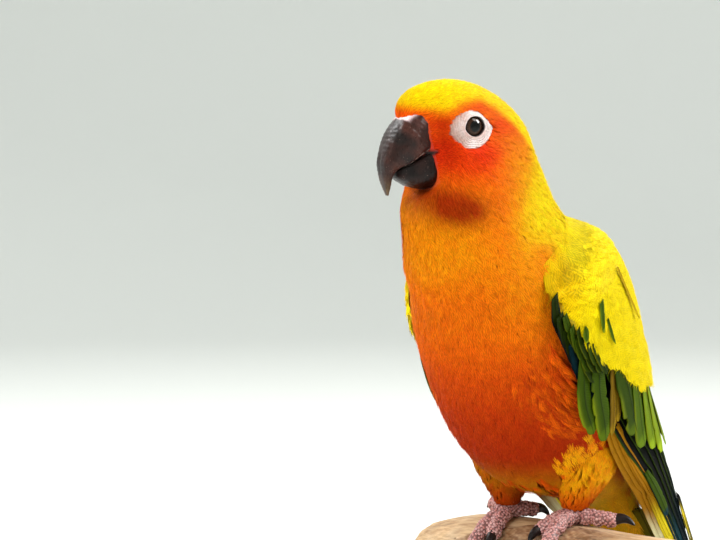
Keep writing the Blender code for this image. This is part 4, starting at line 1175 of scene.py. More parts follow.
def make_flight_feathers(settings, side):
    """Primaries, secondaries, greater coverts and the odd long feathers of one wing."""
    rng = np.random.default_rng(settings.seed + 20 + side)
    form = wing_surface(side)
    green, navy = shades(settings, "green", "navy")
    black = np.full(3, 0.003)
    lime = np.array((0.24, 0.30, 0.006))
    # yellow as it looks in shade: painted shade
    shaded_yellow = np.array((0.42, 0.18, 0.005))
    vanes = []

    def place_on(along, centre, across, level):
        width = wing_width(form, along[:, 0])[:, None]
        return form(along, centre + across / width, level)

    def add(root, tip, share, tip_share, half, level, roll, paint, **more):
        vanes.append(long_vane(place_on, root, tip, share, tip_share, half, level, roll, paint, rng, **more))

    def tier(tips, depth, shares, tip_shares, half, height, roll, paint_at, **more):
        for i, tip in enumerate(tips):
            t = i / (len(tips) - 1)
            share = shares[0] + (shares[1] - shares[0]) * t
            add(core_end(min(share, 1.0)) - depth, tip + rng.normal(0.0, 0.5), share,
                tip_shares[0] + (tip_shares[1] - tip_shares[0]) * t, half * rng.normal(1.0, 0.03),
                height + 0.12 * t, roll, paint_at(t), **more)

    def primary(t):
        edge = green * (1.2 if t < 0.15 else 0.25 + 2.2 * t)
        end = navy * (1.6 if t < 0.25 else 0.3)
        return vane_paint(black, black, edge, end, black, 0.16, 0.1, tip_from=0.70)

    def secondary(t):
        base = green * (0.75 + 1.2 * t)
        return vane_paint(base, lime * (0.5 + 0.5 * t), base * 1.5, base * 1.3, black * 1.5, 0.34, 0.2)

    tier((158, 157, 153, 147, 141, 134, 128, 122, 116), 6.0, (0.88, 0.34), (0.90, 0.20), 4.0, 1.9, 0.85,
         primary, point=0.34)
    tier((86, 90, 94, 98, 101, 103, 104), 7.0, (0.72, 0.08), (0.82, 0.10), 4.6, 3.6, 0.75,
         secondary, point=0.16)
    # greater coverts hang from under the yellow ones, the front ones straight down past the wing's edge
    for i, (root, share, tip, tip_share, half, bright) in enumerate(GREATER_COVERTS):
        base = green * bright
        base = base + (lime * 1.2 - base) * np.clip((bright - 1.4) / 3.0, 0.0, 0.6)
        margin = lime * (0.75 if i < 2 else 0.5 + 0.06 * i)
        colours = vane_paint(base, base * 1.25, margin, base * 1.5 + margin * 0.2, black * 1.5,
                             0.5 if i < 2 else 0.3, 0.3)
        inward = 0.0 if side > 0 or i > 2 else 0.09
        add(root, tip, share - inward, tip_share - inward, half, 5.6 - 0.20 * i, 0.5, colours, point=0.24)
    umber = vane_paint((0.20, 0.11, 0.004), (0.34, 0.20, 0.005), (0.12, 0.07, 0.003), (0.30, 0.18, 0.005),
                       black * 2, 0.5)
    add(44.0, 71.0, 0.71, 1.0, 1.7, 4.9, 0.4, umber, point=0.24)
    add(46.0, 69.0, 0.68, 0.925, 1.8, 4.4, 0.4, umber, point=0.24)
    # long yellow feathers along the front edge and under the tips, orange-brown towards the root as painted
    # shade and bright to near white at the tip as painted light, and three striped ones on the left wing
    pale = vane_paint(shaded_yellow, shaded_yellow * 1.15, shaded_yellow * 0.9, (0.92, 0.86, 0.50), shaded_yellow * 0.8, 0.5, 0.3,
                      tip_from=0.62)
    shade_to_sunlit = vane_paint(shaded_yellow * 1.1, shaded_yellow * 1.5, shaded_yellow * 0.8, (0.88, 0.70, 0.02), shaded_yellow * 0.8,
                       0.5, 0.3, tip_from=0.55)
    patch = vane_paint(green * 1.1, green * 1.5, black, navy * 1.6, black, 0.3)
    bright_stripe = vane_paint((0.85, 0.64, 0.02), (0.88, 0.70, 0.04), black * 2, (0.90, 0.82, 0.40),
                               (0.5, 0.36, 0.02), 0.22, 0.2)

    def striped(s, w, face):
        return blend(black, bright_stripe(s, w, face), smoothstep(0.12, 0.46, s))

    for root, tip, share, tip_share, half, height, colours in (
            (62.0, 146.0, 0.93, 1.25, 2.6, 1.0, pale), (62.0, 150.0, 0.915, 1.19, 2.5, 1.4, pale),
            (66.0, 146.0, 0.905, 1.125, 2.5, 1.9, shade_to_sunlit), (69.0, 143.0, 0.915, 1.09, 2.4, 2.1, shade_to_sunlit),
            (72.0, 140.0, 0.925, 1.055, 1.9, 2.3, shade_to_sunlit), (99.0, 124.0, 0.965, 1.015, 1.7, 2.9, patch),
            (127.0, 152.0, 0.50, 0.44, 2.1, 3.0, striped), (130.0, 160.0, 0.40, 0.34, 2.1, 3.3, striped),
            (124.0, 146.0, 0.60, 0.55, 2.0, 2.8, striped)):
        if side > 0 or colours is not striped:
            add(root, tip, share, tip_share, half, height, 0.2, colours, point=0.3, narrow_root=0.5)
    # dark blue and narrow green coverts along the leading edge
    teal = vane_paint(navy, navy * 1.9, navy * 0.4, navy * 0.9, black, 0.4)
    dusky = vane_paint(green * 0.3, navy * 0.8, black * 2, green * 0.4, black, 0.4)
    for i in range(8):
        start = 16.5 + 5.0 * i
        tip = start + 16.0
        shares = front_edge(np.array((start, tip))) - (0.03 if side > 0 else 0.10)
        level = min(4.4 if side > 0 else 2.4, float(covert_height(start + 6.0, shares.mean())) + 1.0)
        add(start, tip, shares[0], shares[1], 1.9, level + 0.2 * (i % 2), 0.6, dusky if i < 3 else teal,
            rows=14)
    for row in range(5):
        for i in range(7):
            start = 14.0 + 4.2 * i + 1.6 * row
            tip = start + 13.0
            shares = front_edge(np.array((start, tip))) - (0.055 if side > 0 else 0.15) - 0.024 * row
            if tip < covert_edge(shares[1]) + 2.0 or start > 36.0:
                continue
            shade = green * rng.uniform(0.35, 0.9)
            small = vane_paint(shade, shade, lime * 0.3, shade, black, 0.3)
            level = float(covert_height(tip - 6.0, shares.mean())) + (0.1 if side > 0 else -0.6)
            add(start, tip, shares[0], shares[1], 1.35, level, 0.5, small, rows=12)
    # green wedges among the yellow coverts, and one dull olive line that is a painted shadow along a covert's
    # edge
    wedge = vane_paint(green * 1.3, green * 1.8, lime * 0.8, lime, black * 2, 0.3)
    # a painted shadow along the edge of a covert
    dull = vane_paint((0.50, 0.30, 0.004), (0.36, 0.20, 0.004), (0.60, 0.40, 0.005), (0.60, 0.40, 0.005),
                      black, 0.5)
    for root, share, tip, tip_share, half, narrow, colours in (
            (26.0, 0.78, 34.5, 0.80, 1.0, 0.9, wedge), (28.6, 0.898, 33.5, 0.893, 1.1, 0.2, wedge),
            (32.5, 0.75, 41.5, 0.752, 0.62, 0.5, wedge), (25.0, 0.52, 46.0, 0.52, 0.75, 0.4, dull)):
        if side > 0 or share < 0.85:
            level = float(covert_height(0.5 * (root + tip), share)) + 0.75
            add(root, tip, share, tip_share, half, level, 0.1, colours, rows=12, point=0.75,
                narrow_root=narrow)
    return gather_vanes(f"flight_feathers_{SIDE_NAMES[side]}", vanes)


def make_wing_core(settings, side):
    """The wing's own flesh under its coverts, in their colour."""
    form = wing_surface(side)
    t = np.linspace(0.0, 1.0, 22)[:, None]
    share = np.linspace(0.0, 1.0, 25)
    inset = 0.14 * (1.0 - np.sin(np.minimum(t * 3.0, 1.0) * math.pi / 2)) + 0.012
    front = np.where(t > 0.2, np.minimum(1.0, front_edge(WING_CORE_START + 24.0 * t) - 0.05), 1.0)
    place = inset + (front - 2.0 * inset) * share
    start = WING_CORE_START + 3.4
    distance = start + (core_end(share) - start) * t
    upper = form(distance, place, np.maximum(0.75, covert_height(distance, place) - 0.9))
    lower = form(distance, place, 0.55)
    yellow, = shades(settings, "yellow")
    ring = np.concatenate((upper, lower[:, ::-1]), 1)
    return loft_object(f"wing_core_{SIDE_NAMES[side]}", ring, yellow * 0.8)


# Tail

TAIL_ROOT = 99.0
TAIL_LENGTH = 126.0
TAIL_LEVEL = -3.6
TAIL_SHARES = (1.0, 0.95, 0.87, 0.78, 0.69, 0.60)
TAIL_STEP = 2.0
TAIL_PITCH = 1.05
TAIL_INNER = 6.0
TAIL_OUTER = 2.8
TAIL_VANE_ROOT = 124.0
TAIL_MIDDLE_RISE = {1: 2.2, -1: 1.1}


def tail_paint(outermost):
    """Colours of a tail feather: olive, then green, then blue, and dull on its underside."""
    olive = np.array((0.16, 0.19, 0.005))
    blue = np.array((0.010, 0.050, 0.085))
    dusk = (0.02, 0.022, 0.016)

    def paint(s, w, face):
        tint = blend(olive, (0.035, 0.11, 0.018), smoothstep(0.12, 0.5, s))
        tint = blend(tint, blue, smoothstep(0.5, 0.95, s))
        if outermost:
            tint = blend(tint, blue * 0.9, 0.75 * smoothstep(0.0, 0.7, w))
            tint = blend(tint, dusk, 0.6 * smoothstep(0.2, 0.9, -w))
        tint = blend(tint, olive * 1.7, 0.7 * smoothstep(0.72, 1.0, np.abs(w)) * smoothstep(0.75, 0.3, s))
        tint = blend(tint, dusk, 0.7 * smoothstep(0.10, 0.02, np.abs(w)))
        return tint if face > 0 else tint * (0.85, 0.6, 0.42)
    return paint


def make_tail(settings):
    """Twelve tail feathers, the middle two longest and uppermost."""
    rng = np.random.default_rng(settings.seed + 40)
    vanes = []
    for i in reversed(range(len(TAIL_SHARES))):
        tip = TAIL_ROOT + TAIL_LENGTH * TAIL_SHARES[i]
        for side in (1, -1):
            if i == 0:
                inner, outer, centre, level, slope = -3.0, 6.6, 1.8, TAIL_LEVEL + TAIL_MIDDLE_RISE[side], 0.0
            else:
                centre = 2.4 + TAIL_STEP * i
                inner, outer = max(0.6, centre - TAIL_INNER), centre + TAIL_OUTER
                level, slope = TAIL_LEVEL - 0.2, TAIL_PITCH / TAIL_STEP
            half = (outer - inner) / 2
            middle = (outer + inner) / 2

            def place_on(along, where, across, height, side=side):
                return body_point(along, side * (where + across), height)

            vanes.append(long_vane(
                place_on, TAIL_VANE_ROOT, tip, middle, middle, half, level + slope * (middle - centre),
                slope * half, tail_paint(i > 0), rng, rows=34, shaft=(centre - middle) / half, point=0.42))
    return gather_vanes("tail_feathers", vanes)


# Bill

def grain(points, size, seed, waves=16):
    """Smooth random numbers over points, near -1 to 1, that change over size millimetres."""
    rng = np.random.default_rng(seed)
    way = rng.normal(0.0, 1.0, (waves, 3))
    way *= math.tau / (size * rng.uniform(0.7, 1.7, (waves, 1)) * np.linalg.norm(way, axis=1, keepdims=True))
    phase = rng.uniform(0.0, math.tau, waves)
    return np.sin(points @ way.T + phase).sum(-1) / math.sqrt(waves / 2.0) * 0.6


def horn_look(name):
    """Dark horn: fine scratches along it, pale specks and a broken gloss."""
    look = Look(name)
    scratch = look.noise(look.stretched((1.0, 0.55, 0.22), (0.5, 0.0, 0.35)), 2600.0, 5.0, 0.7)
    blotch = look.noise(look.place, 330.0, 4.0, 0.6)
    speck = look.noise(look.place, 2100.0, 2.0, 0.5)
    shade = look.maths(
        "MULTIPLY", look.ramp(scratch, 0.35, 0.7, 0.75, 1.35), look.ramp(blotch, 0.3, 0.7, 0.65, 1.5))
    flake = look.maths("MULTIPLY", look.ramp(speck, 0.66, 0.74), look.ramp(blotch, 0.42, 0.62))
    colour = look.mix(look.maths("MULTIPLY", flake, 0.5), look.shaded(shade), (0.30, 0.20, 0.17))
    height = look.maths("ADD", scratch, look.maths("MULTIPLY", blotch, 1.2))
    return look.finished(colour, look.ramp(scratch, 0.3, 0.75, 0.24, 0.48), height, 0.45, 0.09 * MM,
                         Specular_IOR_Level=0.24)


def make_bill(settings):
    """Both halves of the bill, with the cere, the nostrils and the worn edge along the mouth."""
    horn, bare = shades(settings, "horn", "bare_skin")
    pale = np.array((0.42, 0.30, 0.26))
    look = horn_look("worn_horn")
    for half, rows, flat_side, rings in (("upper", UPPER_BILL, -1, 96), ("lower", LOWER_BILL, 1, 56)):
        grid, place, angle = bill_grid(rows, rings, 80, flat_side)
        place = place[:, None]
        c = np.cos(angle)
        out = grid - grid.mean(1, keepdims=True)
        size = np.linalg.norm(out, axis=-1, keepdims=True)
        out = out / np.maximum(size, 1e-6)
        rough = 0.10 * grain(grid * (1.0, 1.0, 0.5), 2.2, 5) + 0.05 * grain(grid, 0.8, 6)
        growth = 0.05 * np.sin(place * 21.0 + 0.8 * grain(grid, 5.0, 9))
        move = (rough + growth) * np.clip(size[..., 0] / 3.0, 0.0, 1.0)
        tint = blend(horn, (0.052, 0.016, 0.011), np.clip(0.42 + 0.4 * grain(grid, 5.0, 3), 0.0, 0.85))
        if flat_side < 0:
            cere = smoothstep(1.10, 0.96, place + 0.05 * grain(grid, 1.6, 8) - 0.10 * c)
            cere = cere * smoothstep(0.1, 0.4, c)
            move = move + 0.35 * smoothstep(1.3, 1.0, place) * smoothstep(0.0, 0.5, c)
            one_side = np.stack((grid[..., 0], np.abs(grid[..., 1]), grid[..., 2]), -1)
            hole = np.linalg.norm(one_side - NOSTRIL, axis=-1)
            move = move - 1.0 * smoothstep(1.25, 0.55, hole) + 0.18 * np.exp(-((hole - 1.5) / 0.5) ** 2)
            tint = blend(tint, (0.16, 0.09, 0.035), 0.6 * smoothstep(4.6, 7.0, place))
            # lighter grey along the top of the ridge: a painted highlight
            ridge = smoothstep(0.86, 1.0, c) * smoothstep(0.8, 1.6, place)
            tint = blend(tint, (0.035, 0.026, 0.026), 0.7 * ridge)
            worn = smoothstep(-0.42, -0.56, c) * smoothstep(-0.93, -0.80, c)
            worn = worn * smoothstep(-0.15, 0.35, grain(grid * (1.0, 1.0, 1.6), 0.9, 4) + 0.25)
            worn = worn * smoothstep(0.2, 0.8, place) * smoothstep(6.6, 5.6, place)
            tint = blend(tint, pale, 0.75 * worn)
            skin = blend((0.045, 0.016, 0.013), bare * (1.0, 0.86, 0.90), smoothstep(0.72, 0.92, c))
            tint = blend(tint, skin, cere)
            # darker in the nostril's hollow: painted shade
            tint = blend(tint, (0.10, 0.035, 0.03), smoothstep(1.15, 0.7, hole))
        else:
            worn = smoothstep(0.40, 0.55, c) * smoothstep(0.93, 0.80, c)
            worn = worn * smoothstep(0.0, 0.6, grain(grid, 0.9, 7))
            # the lower half is painted far darker than the upper one: painted shade under it
            tint = 0.32 * blend(tint, pale * 0.6, 0.5 * worn)
        piece = loft_object(f"{half}_bill", head_points(grid + out * move[..., None]), tint)
        finish(piece, look, "bill", f"bill_{half}")


# Eyes and the bare rings round them

def eye_look(name):
    """A wet eye: a clear coat over fine fibres."""
    look = Look(name)
    fibre = look.noise(look.place, 2600.0)
    return look.finished(
        look.shaded(look.ramp(fibre, 0.3, 0.7, 0.75, 1.3)), look.ramp(fibre, 0.3, 0.7, 0.10, 0.16),
        fibre, 0.1, 0.03 * MM, Specular_IOR_Level=0.0, Coat_Weight=0.6, Coat_Roughness=0.02, Coat_IOR=1.42)


def make_eyes():
    """Both eyeballs, with a brown iris and a black pupil."""
    look = eye_look("wet_eye")
    tilt = np.linspace(0.015, math.pi - 0.015, 90)[:, None]
    angle = circle(96)
    off = EYE_RADIUS * np.sin(tilt)
    front = tilt < math.pi / 2
    radius = EYE_RADIUS + np.where(front, 0.10 * np.exp(-(off / 2.2) ** 2), 0.0)
    streak = 0.5 + 0.25 * np.sin(angle * 23.0 + 1.3) + 0.25 * np.sin(angle * 41.0 + off * 1.5)
    iris = np.array((0.030, 0.012, 0.006)) * (0.55 + 0.9 * streak[..., None])
    tint = blend((0.002, 0.002, 0.002), iris, smoothstep(1.62, 1.80, off))
    tint = blend(tint, iris * 1.8, 0.6 * smoothstep(1.8, 2.0, off) * smoothstep(2.5, 2.1, off))
    tint = blend(tint, (0.006, 0.004, 0.004), smoothstep(2.75, 3.05, off))
    tint = np.where(front[..., None], tint, 0.01)
    forward = EYE_FORWARD + radius * np.sin(tilt) * np.cos(angle)
    up = EYE_UP + radius * np.sin(tilt) * np.sin(angle)
    for side, name in SIDE_NAMES.items():
        ball = head_point(forward, side * (EYE_CENTRE + radius * np.cos(tilt)), up)
        finish(loft_object(f"{name}_eyeball", ball, tint), look, "eye", f"eye_{name}")


def side_finder():
    """A function that gives how far out the plumage is at a forward and an up of the skull's plane."""
    place = np.linspace(12.0, LAST_PLACE, 90)[:, None]
    spots = np.stack(in_skull(body_surface(place, circle(120), 0.0)), -1).reshape(-1, 3)
    tree = BVHTree.FromPolygons([Vector(p) for p in spots], grid_triangles(90, 120, True).tolist())

    def find(f, u, side):
        hit = tree.ray_cast(Vector((f, side * 60.0, u)), Vector((0.0, -side, 0.0)))[0]
        return 10.0 if hit is None else abs(hit.y)
    return find


def make_eye_rings(settings):
    """The bare, finely wrinkled ring and the lids round each eye."""
    bare, = shades(settings, "bare_skin")
    look = skin_look("wrinkled_bare_skin", 0.55, 2400.0, 0.10)
    find = side_finder()
    angle = circle(144)
    reach = ring_reach(angle)
    kernel = np.exp(-np.linspace(-2, 2, 15) ** 2)
    kernel /= kernel.sum()
    reach = np.convolve(np.concatenate((reach[-7:], reach, reach[:7])), kernel, "valid")[:, None]
    angle = angle[:, None]
    c = np.cos(angle)
    s = np.sin(angle)
    corner = np.abs((angle + math.pi + 0.25) % math.tau - math.pi)
    rear = np.abs((angle - 0.1) % math.tau - math.pi)
    hole = 3.05 + 0.35 * np.exp(-(corner / 0.35) ** 2) + 0.20 * np.exp(-(rear / 0.35) ** 2)
    hole = hole - 0.16 * np.exp(-((angle - math.pi / 2) / 0.8) ** 2)
    radius = hole + (reach + 1.3 - hole) * np.linspace(0.0, 1.0, 40)
    from_hole = radius - hole
    share = np.clip(from_hole / np.maximum(reach - hole, 0.1), 0.0, 1.4)
    bare_part = smoothstep(0.35, 0.7, from_hole)
    fore = smoothstep(0.1, 0.9, c)
    low = smoothstep(0.3, -0.6, s)
    for side, name in SIDE_NAMES.items():
        forward = EYE_FORWARD + radius * c
        up = EYE_UP + radius * s
        cover = np.array([[find(f, u, side) for f, u in zip(fr, ur)] for fr, ur in zip(forward, up)])
        lid = 14.45 + 0.85 * np.sqrt(np.clip(from_hole / 0.45, 0.0, 1.0))
        lid = lid - 0.10 * np.clip(from_hole - 0.45, 0, 9)
        outer = cover - 0.75 - 1.1 * smoothstep(0.95, 1.3, share)
        level = lid + (outer - lid) * smoothstep(0.18, 0.95, share)
        spots = np.stack((forward, up, 0.0 * up), -1)
        fold = np.sin((from_hole + 0.35 * grain(spots, 3.5, 21 + side)) * math.tau / 0.62)
        radial = np.sin(angle * 46.0) + np.sin(angle * 31.0 + 1.0)
        level = level + bare_part * (0.11 * fold + 0.03 * radial + 0.07 * grain(spots, 1.0, 23))
        level = level + 0.16 * np.exp(-((from_hole - 0.32) / 0.16) ** 2)
        # darker and pinker in the grooves of the wrinkles: painted shade in them, over the skin's own colour
        pink = 0.30 - 0.26 * fold + 0.24 * grain(spots, 2.5, 25) + 0.35 * fore
        tint = blend(bare, (0.55, 0.36, 0.31), np.clip(pink, 0, 0.85) * bare_part)
        # darker and browner towards the bill: painted shade
        tint = blend(tint, (0.44, 0.25, 0.20), 0.95 * fore * smoothstep(0.15, 0.75, share))
        tint = blend(tint, (0.70, 0.16, 0.05), 0.9 * fore * smoothstep(0.70, 0.98, share))
        # darker low by the lid: painted shade
        tint = blend(tint, (0.60, 0.32, 0.26), 0.5 * low * smoothstep(1.8, 0.4, from_hole))
        tint = blend(tint, (0.03, 0.018, 0.016), smoothstep(0.34, 0.12, from_hole))
        tint = blend(tint, (0.70, 0.14, 0.015), 0.8 * smoothstep(0.96, 1.15, share))
        # the sheet turns in at the lids and runs back under itself
        under = level[:, ::-1] - 1.2
        under[:, -1] = 13.2
        forward = np.concatenate((EYE_FORWARD + (hole - 0.03) * c, forward, forward[:, ::-1]), 1)
        up = np.concatenate((EYE_UP + (hole - 0.03) * s, up, up[:, ::-1]), 1)
        level = np.concatenate((np.full_like(hole, 13.3), level, np.minimum(under, 14.0)), 1)
        tint = np.concatenate((tint[:, :1], tint, tint[:, ::-1]), 1)
        rows, columns = level.shape
        faces = grid_triangles(rows + 1, columns, True) % (rows * columns)
        piece = mesh_object(f"{name}_eye_ring", head_point(forward, side * level, up), faces, tint)
        point_out(piece)
        finish(piece, look, "foot_skin")


def point_out(made):
    """Turns a closed piece's faces outwards."""
    shape = bmesh.new()
    shape.from_mesh(made.data)
    bmesh.ops.recalc_face_normals(shape, faces=shape.faces)
    shape.to_mesh(made.data)
    shape.free()


# Skin

def remeshed(made, voxel, smoothing=4):
    """The piece as one even closed mesh with voxels this many millimetres wide."""
    modifier = made.modifiers.new("Even mesh", "REMESH")
    modifier.mode = "VOXEL"
    modifier.voxel_size = voxel * MM
    if smoothing:
        soft = made.modifiers.new("Soften", "SMOOTH")
        soft.factor = 0.5
        soft.iterations = smoothing
    mesh = bpy.data.meshes.new_from_object(made.evaluated_get(bpy.context.evaluated_depsgraph_get()))
    made.modifiers.clear()
    old = made.data
    made.data = mesh
    bpy.data.meshes.remove(old)
    for polygon in mesh.polygons:
        polygon.use_smooth = True
    return made


def points_of(made):
    """The points of a piece in the bird's frame, in millimetres."""
    spots = np.empty(len(made.data.vertices) * 3, np.float32)
    made.data.vertices.foreach_get("co", spots)
    spots = spots.reshape(-1, 3) / MM
    return spots + (0.0, BASE_CENTRE_Y, -PERCH_TOP)


def put_points(made, points):
    """Moves a piece's points to places in the bird's frame."""
    made.data.vertices.foreach_set("co", to_part(points).astype(np.float32).ravel())
    made.data.update()


def make_skin(settings):
    """One skin under the whole coat: torso, neck, head and thighs."""
    place = np.linspace(0.0, LAST_PLACE, 160)[:, None]
    depth = np.interp(place, (0, 12, 15, 18, 21, 25), (2.4, 2.4, 1.9, 1.25, 0.75, 0.5))
    parts = [loft_object("skin", body_surface(place, circle(110), -depth))]
    place = np.linspace(0.0, 4.9, 50)[:, None]
    for side in (1, -1):
        parts.append(loft_object("thigh", thigh_surface(side)(place, circle(60), -1.5)))
    made = remeshed(joined("skin", parts), 1.25, 3)
    points = points_of(made)
    # the skin lies deeper round the eyes, under their bare rings
    forward, left, up = in_skull(points)
    for side in (1, -1):
        share = ring_share(points, side)
        low = 12.0 + (np.abs(left) - 12.0) * smoothstep(0.75, 1.12, share)
        left = np.where((share < 1.12) & (np.abs(left) > low), side * low, left)
    near = (up > 108.0) & (np.abs(left) > 4.0) & (points[:, 2] > 108.0)
    points = np.where(near[:, None], head_point(forward, left, up), points)
    put_points(made, points)
    # each point takes its colour from the nearest place of the coat
    place, angle = np.meshgrid(np.linspace(0.0, LAST_PLACE, 130), circle(72), indexing="ij")
    spots = body_surface(place, angle, -1.5).reshape(-1, 3)
    tree = KDTree(len(spots))
    for i, spot in enumerate(spots):
        tree.insert(spot, i)
    tree.balance()
    found = np.array([tree.find(p)[1] for p in points])
    tint = plumage_colour(settings, points, place.ravel()[found], angle.ravel()[found])
    x, y, z = points.T
    gold, = shades(settings, "gold")
    leg = (z < 24.0) & (np.abs(np.abs(x) - FOOT_X - 2.0) < 11.0) & (np.abs(y) < 15.0)
    thigh = smoothstep(36.0, 22.0, z)[:, None]
    tint = np.where(leg[:, None], gold * thigh + tint * (1 - thigh), tint)
    paint_mesh(made.data, tint * (0.85, 0.75, 0.8))
    look = skin_look("warm_skin", 0.7, 900.0, 0.2)
    return finish(made, look, "feather_orange", "torso", "neck", "head", "thigh_left", "thigh_right")


# Feet

def on_perch(x, travelled, height):
    """Points over the perch's round top: travelled forward from its middle, at a height above it."""
    reach = PERCH_RADIUS + height
    turn = travelled / reach
    y = PERCH_Y - reach * np.sin(turn)
    return np.stack(np.broadcast_arrays(x, y, reach * np.cos(turn) - PERCH_RADIUS), -1)


def toe_line(side, angle, travelled):
    """The middle line of a toe that lies on the perch at an angle to straight ahead, and its upward way."""
    out = math.sin(math.radians(angle)) * side
    ahead = math.cos(math.radians(angle))
    line = on_perch(side * FOOT_X + out * travelled, PERCH_Y - FOOT_Y[side] + ahead * travelled,
                    TOE_GAP + TOE_RADIUS)
    up = line - np.stack(np.broadcast_arrays(line[:, 0], PERCH_Y, -PERCH_RADIUS), -1)
    return line, up / np.linalg.norm(up, axis=1, keepdims=True)


def toes_of(side):
    """Name, angle, length and claw length of each toe of one foot."""
    for label, angle, length, claw in TOES:
        if label == "outer_back" and side > 0:
            angle, length = OUTER_BACK_LEFT
        yield label, angle, length, claw


def granule_tree(look):
    """A Geometry Nodes tree that covers a surface with small domed scales."""
    tree = bpy.data.node_groups.new("Granular scales", "GeometryNodeTree")
    tree.interface.new_socket("Geometry", in_out="INPUT", socket_type="NodeSocketGeometry")
    for name, kind, value in (
            ("Spacing", "Float", 0.0008), ("Scale radius", "Float", 0.0005), ("Flatness", "Float", 0.5),
            ("Seed", "Int", 3), ("Pale", "Color", (0.68, 0.38, 0.36, 1.0)),
            ("Deep", "Color", (0.56, 0.22, 0.20, 1.0))):
        socket = tree.interface.new_socket(name, in_out="INPUT", socket_type=f"NodeSocket{kind}")
        socket.default_value = value
    tree.interface.new_socket("Geometry", in_out="OUTPUT", socket_type="NodeSocketGeometry")
    start = add_node(tree, "NodeGroupInput").outputs
    spread = add_node(tree, "GeometryNodeDistributePointsOnFaces", {
        "Mesh": start["Geometry"], "Distance Min": start["Spacing"], "Density Max": 4.0e6,
        "Seed": start["Seed"]}, distribute_method="POISSON")
    ball = add_node(tree, "GeometryNodeMeshIcoSphere", {"Subdivisions": 2, "Radius": start["Scale radius"]})
    shape = add_node(tree, "ShaderNodeCombineXYZ", {0: 1.0, 1: 1.0, 2: start["Flatness"]})
    squash = add_node(tree, "GeometryNodeTransform", {
        "Geometry": ball.outputs["Mesh"], "Scale": shape.outputs[0]})
    size = add_node(tree, "FunctionNodeRandomValue", {
        2: 0.8, 3: 1.12, "Seed": start["Seed"]}, data_type="FLOAT")
    place = add_node(tree, "GeometryNodeInstanceOnPoints", {
        "Points": spread.outputs["Points"], "Rotation": spread.outputs["Rotation"],
        "Instance": squash.outputs[0], "Scale": size.outputs[1]})
    share = add_node(tree, "FunctionNodeRandomValue", data_type="FLOAT")
    mix = add_node(tree, "ShaderNodeMix", {
        0: share.outputs[1], 6: start["Pale"], 7: start["Deep"]}, data_type="RGBA")
    store = add_node(tree, "GeometryNodeStoreNamedAttribute", {
        "Geometry": place.outputs[0], "Name": "Tint", "Value": mix.outputs[2]},
        data_type="FLOAT_COLOR", domain="INSTANCE")
    real = add_node(tree, "GeometryNodeRealizeInstances", {0: store.outputs[0]})
    smooth = add_node(tree, "GeometryNodeSetShadeSmooth", {"Geometry": real.outputs[0]})
    cover = add_node(tree, "GeometryNodeSetMaterial", {"Geometry": smooth.outputs[0], "Material": look})
    add_node(tree, "NodeGroupOutput", {0: cover.outputs[0]})
    return tree


def grown(source, tree, name, values):
    """A plain mesh object made by running a tree on a source piece with named inputs."""
    modifier = source.modifiers.new("Grow", "NODES")
    modifier.node_group = tree
    for item in tree.interface.items_tree:
        if item.item_type == "SOCKET" and item.in_out == "INPUT" and item.name in values:
            modifier[item.identifier] = values[item.name]
    mesh = bpy.data.meshes.new_from_object(source.evaluated_get(bpy.context.evaluated_depsgraph_get()))
    source.modifiers.clear()
    mesh.name = name
    made = bpy.data.objects.new(name, mesh)
    bpy.context.scene.collection.objects.link(made)
    return made


def make_feet(settings):
    """Both feet: the gripping toes, their pads and the granular scales over them."""
    skin, = shades(settings, "foot_skin")
    look = skin_look("foot_skin", 0.6, 1500.0, 0.12)
    scale_look = skin_look("foot_scales", 0.48, 3000.0, 0.05)
    tree = granule_tree(scale_look)
    for side, name in SIDE_NAMES.items():
        t = np.linspace(0.0, 1.0, 9)
        leg = np.stack(np.broadcast_arrays(side * FOOT_X, FOOT_Y[side], 6.6 - 3.6 * t), -1)
        parts = [loft_object("leg", tube_grid(leg, 3.3 - 0.2 * t, 24, 1.0, (0.0, 1.0, 0.0)))]
        t = np.linspace(0.0, 1.0, 46)
        pads = np.cos(t * 7.0 * math.pi)
        for _, angle, length, _ in toes_of(side):
            line, up = toe_line(side, angle, length * t)
            radius = TOE_RADIUS * (1.14 - 0.24 * t + 0.12 * pads)
            line = line - up * (0.25 * pads)[:, None]
            parts.append(loft_object("toe", tube_grid(line, radius, 22, 1.0, up)))
        foot = remeshed(joined(f"{name}_foot_skin", parts), 0.36, 4)
        points = points_of(foot)
        crease = grain(points, 1.6, 31)
        normals = np.empty(points.size, np.float32)
        foot.data.vertices.foreach_get("normal", normals)
        points = points + normals.reshape(-1, 3) * (0.09 * crease)[:, None]
        put_points(foot, points)
        # darker in the hollows of the creases: painted shade
        tint = blend(skin * 0.42, skin * 0.75, np.clip(0.4 + 0.5 * crease, 0, 1))
        # darker towards the bottom, where the toes lie on the perch: painted shade
        paint_mesh(foot.data, blend(tint, skin * 0.3, 0.3 * smoothstep(3.0, 0.4, points[:, 2])))
        scales = grown(foot, tree, f"{name}_foot_scales", {
            "Spacing": 0.82 * MM, "Scale radius": 0.50 * MM, "Flatness": 0.55, "Seed": 3 + side})
        finish(foot, look, "foot_skin", f"foot_{name}")
        finish(scales, scale_look, "foot_skin")


def make_claws(settings):
    """The eight claws, as hooked horn."""
    horn, = shades(settings, "horn")
    t = np.linspace(0.0, 1.0, 30)
    radius = 1.5 * (1.0 - t ** 1.5) ** 0.8 + 0.12
    tint = blend(horn * 1.6, horn * 0.6, smoothstep(0.1, 0.8, t))[:, None]
    parts = []
    nodes = []
    for side, name in SIDE_NAMES.items():
        for label, angle, length, claw in toes_of(side):
            line, up = toe_line(side, angle, length - 1.0 + (claw + 1.0) * t)
            line = line + up * (1.15 * np.sin(math.pi * t) - 0.9 * t)[:, None]
            parts.append(loft_object("claw", tube_grid(line, radius, 20, 1.18, up), tint))
            nodes.append(f"claw_{label}_{name}")
    return finish(joined("claws", parts), horn_look("claw_horn"), "claw", *nodes)


# Perch and stand

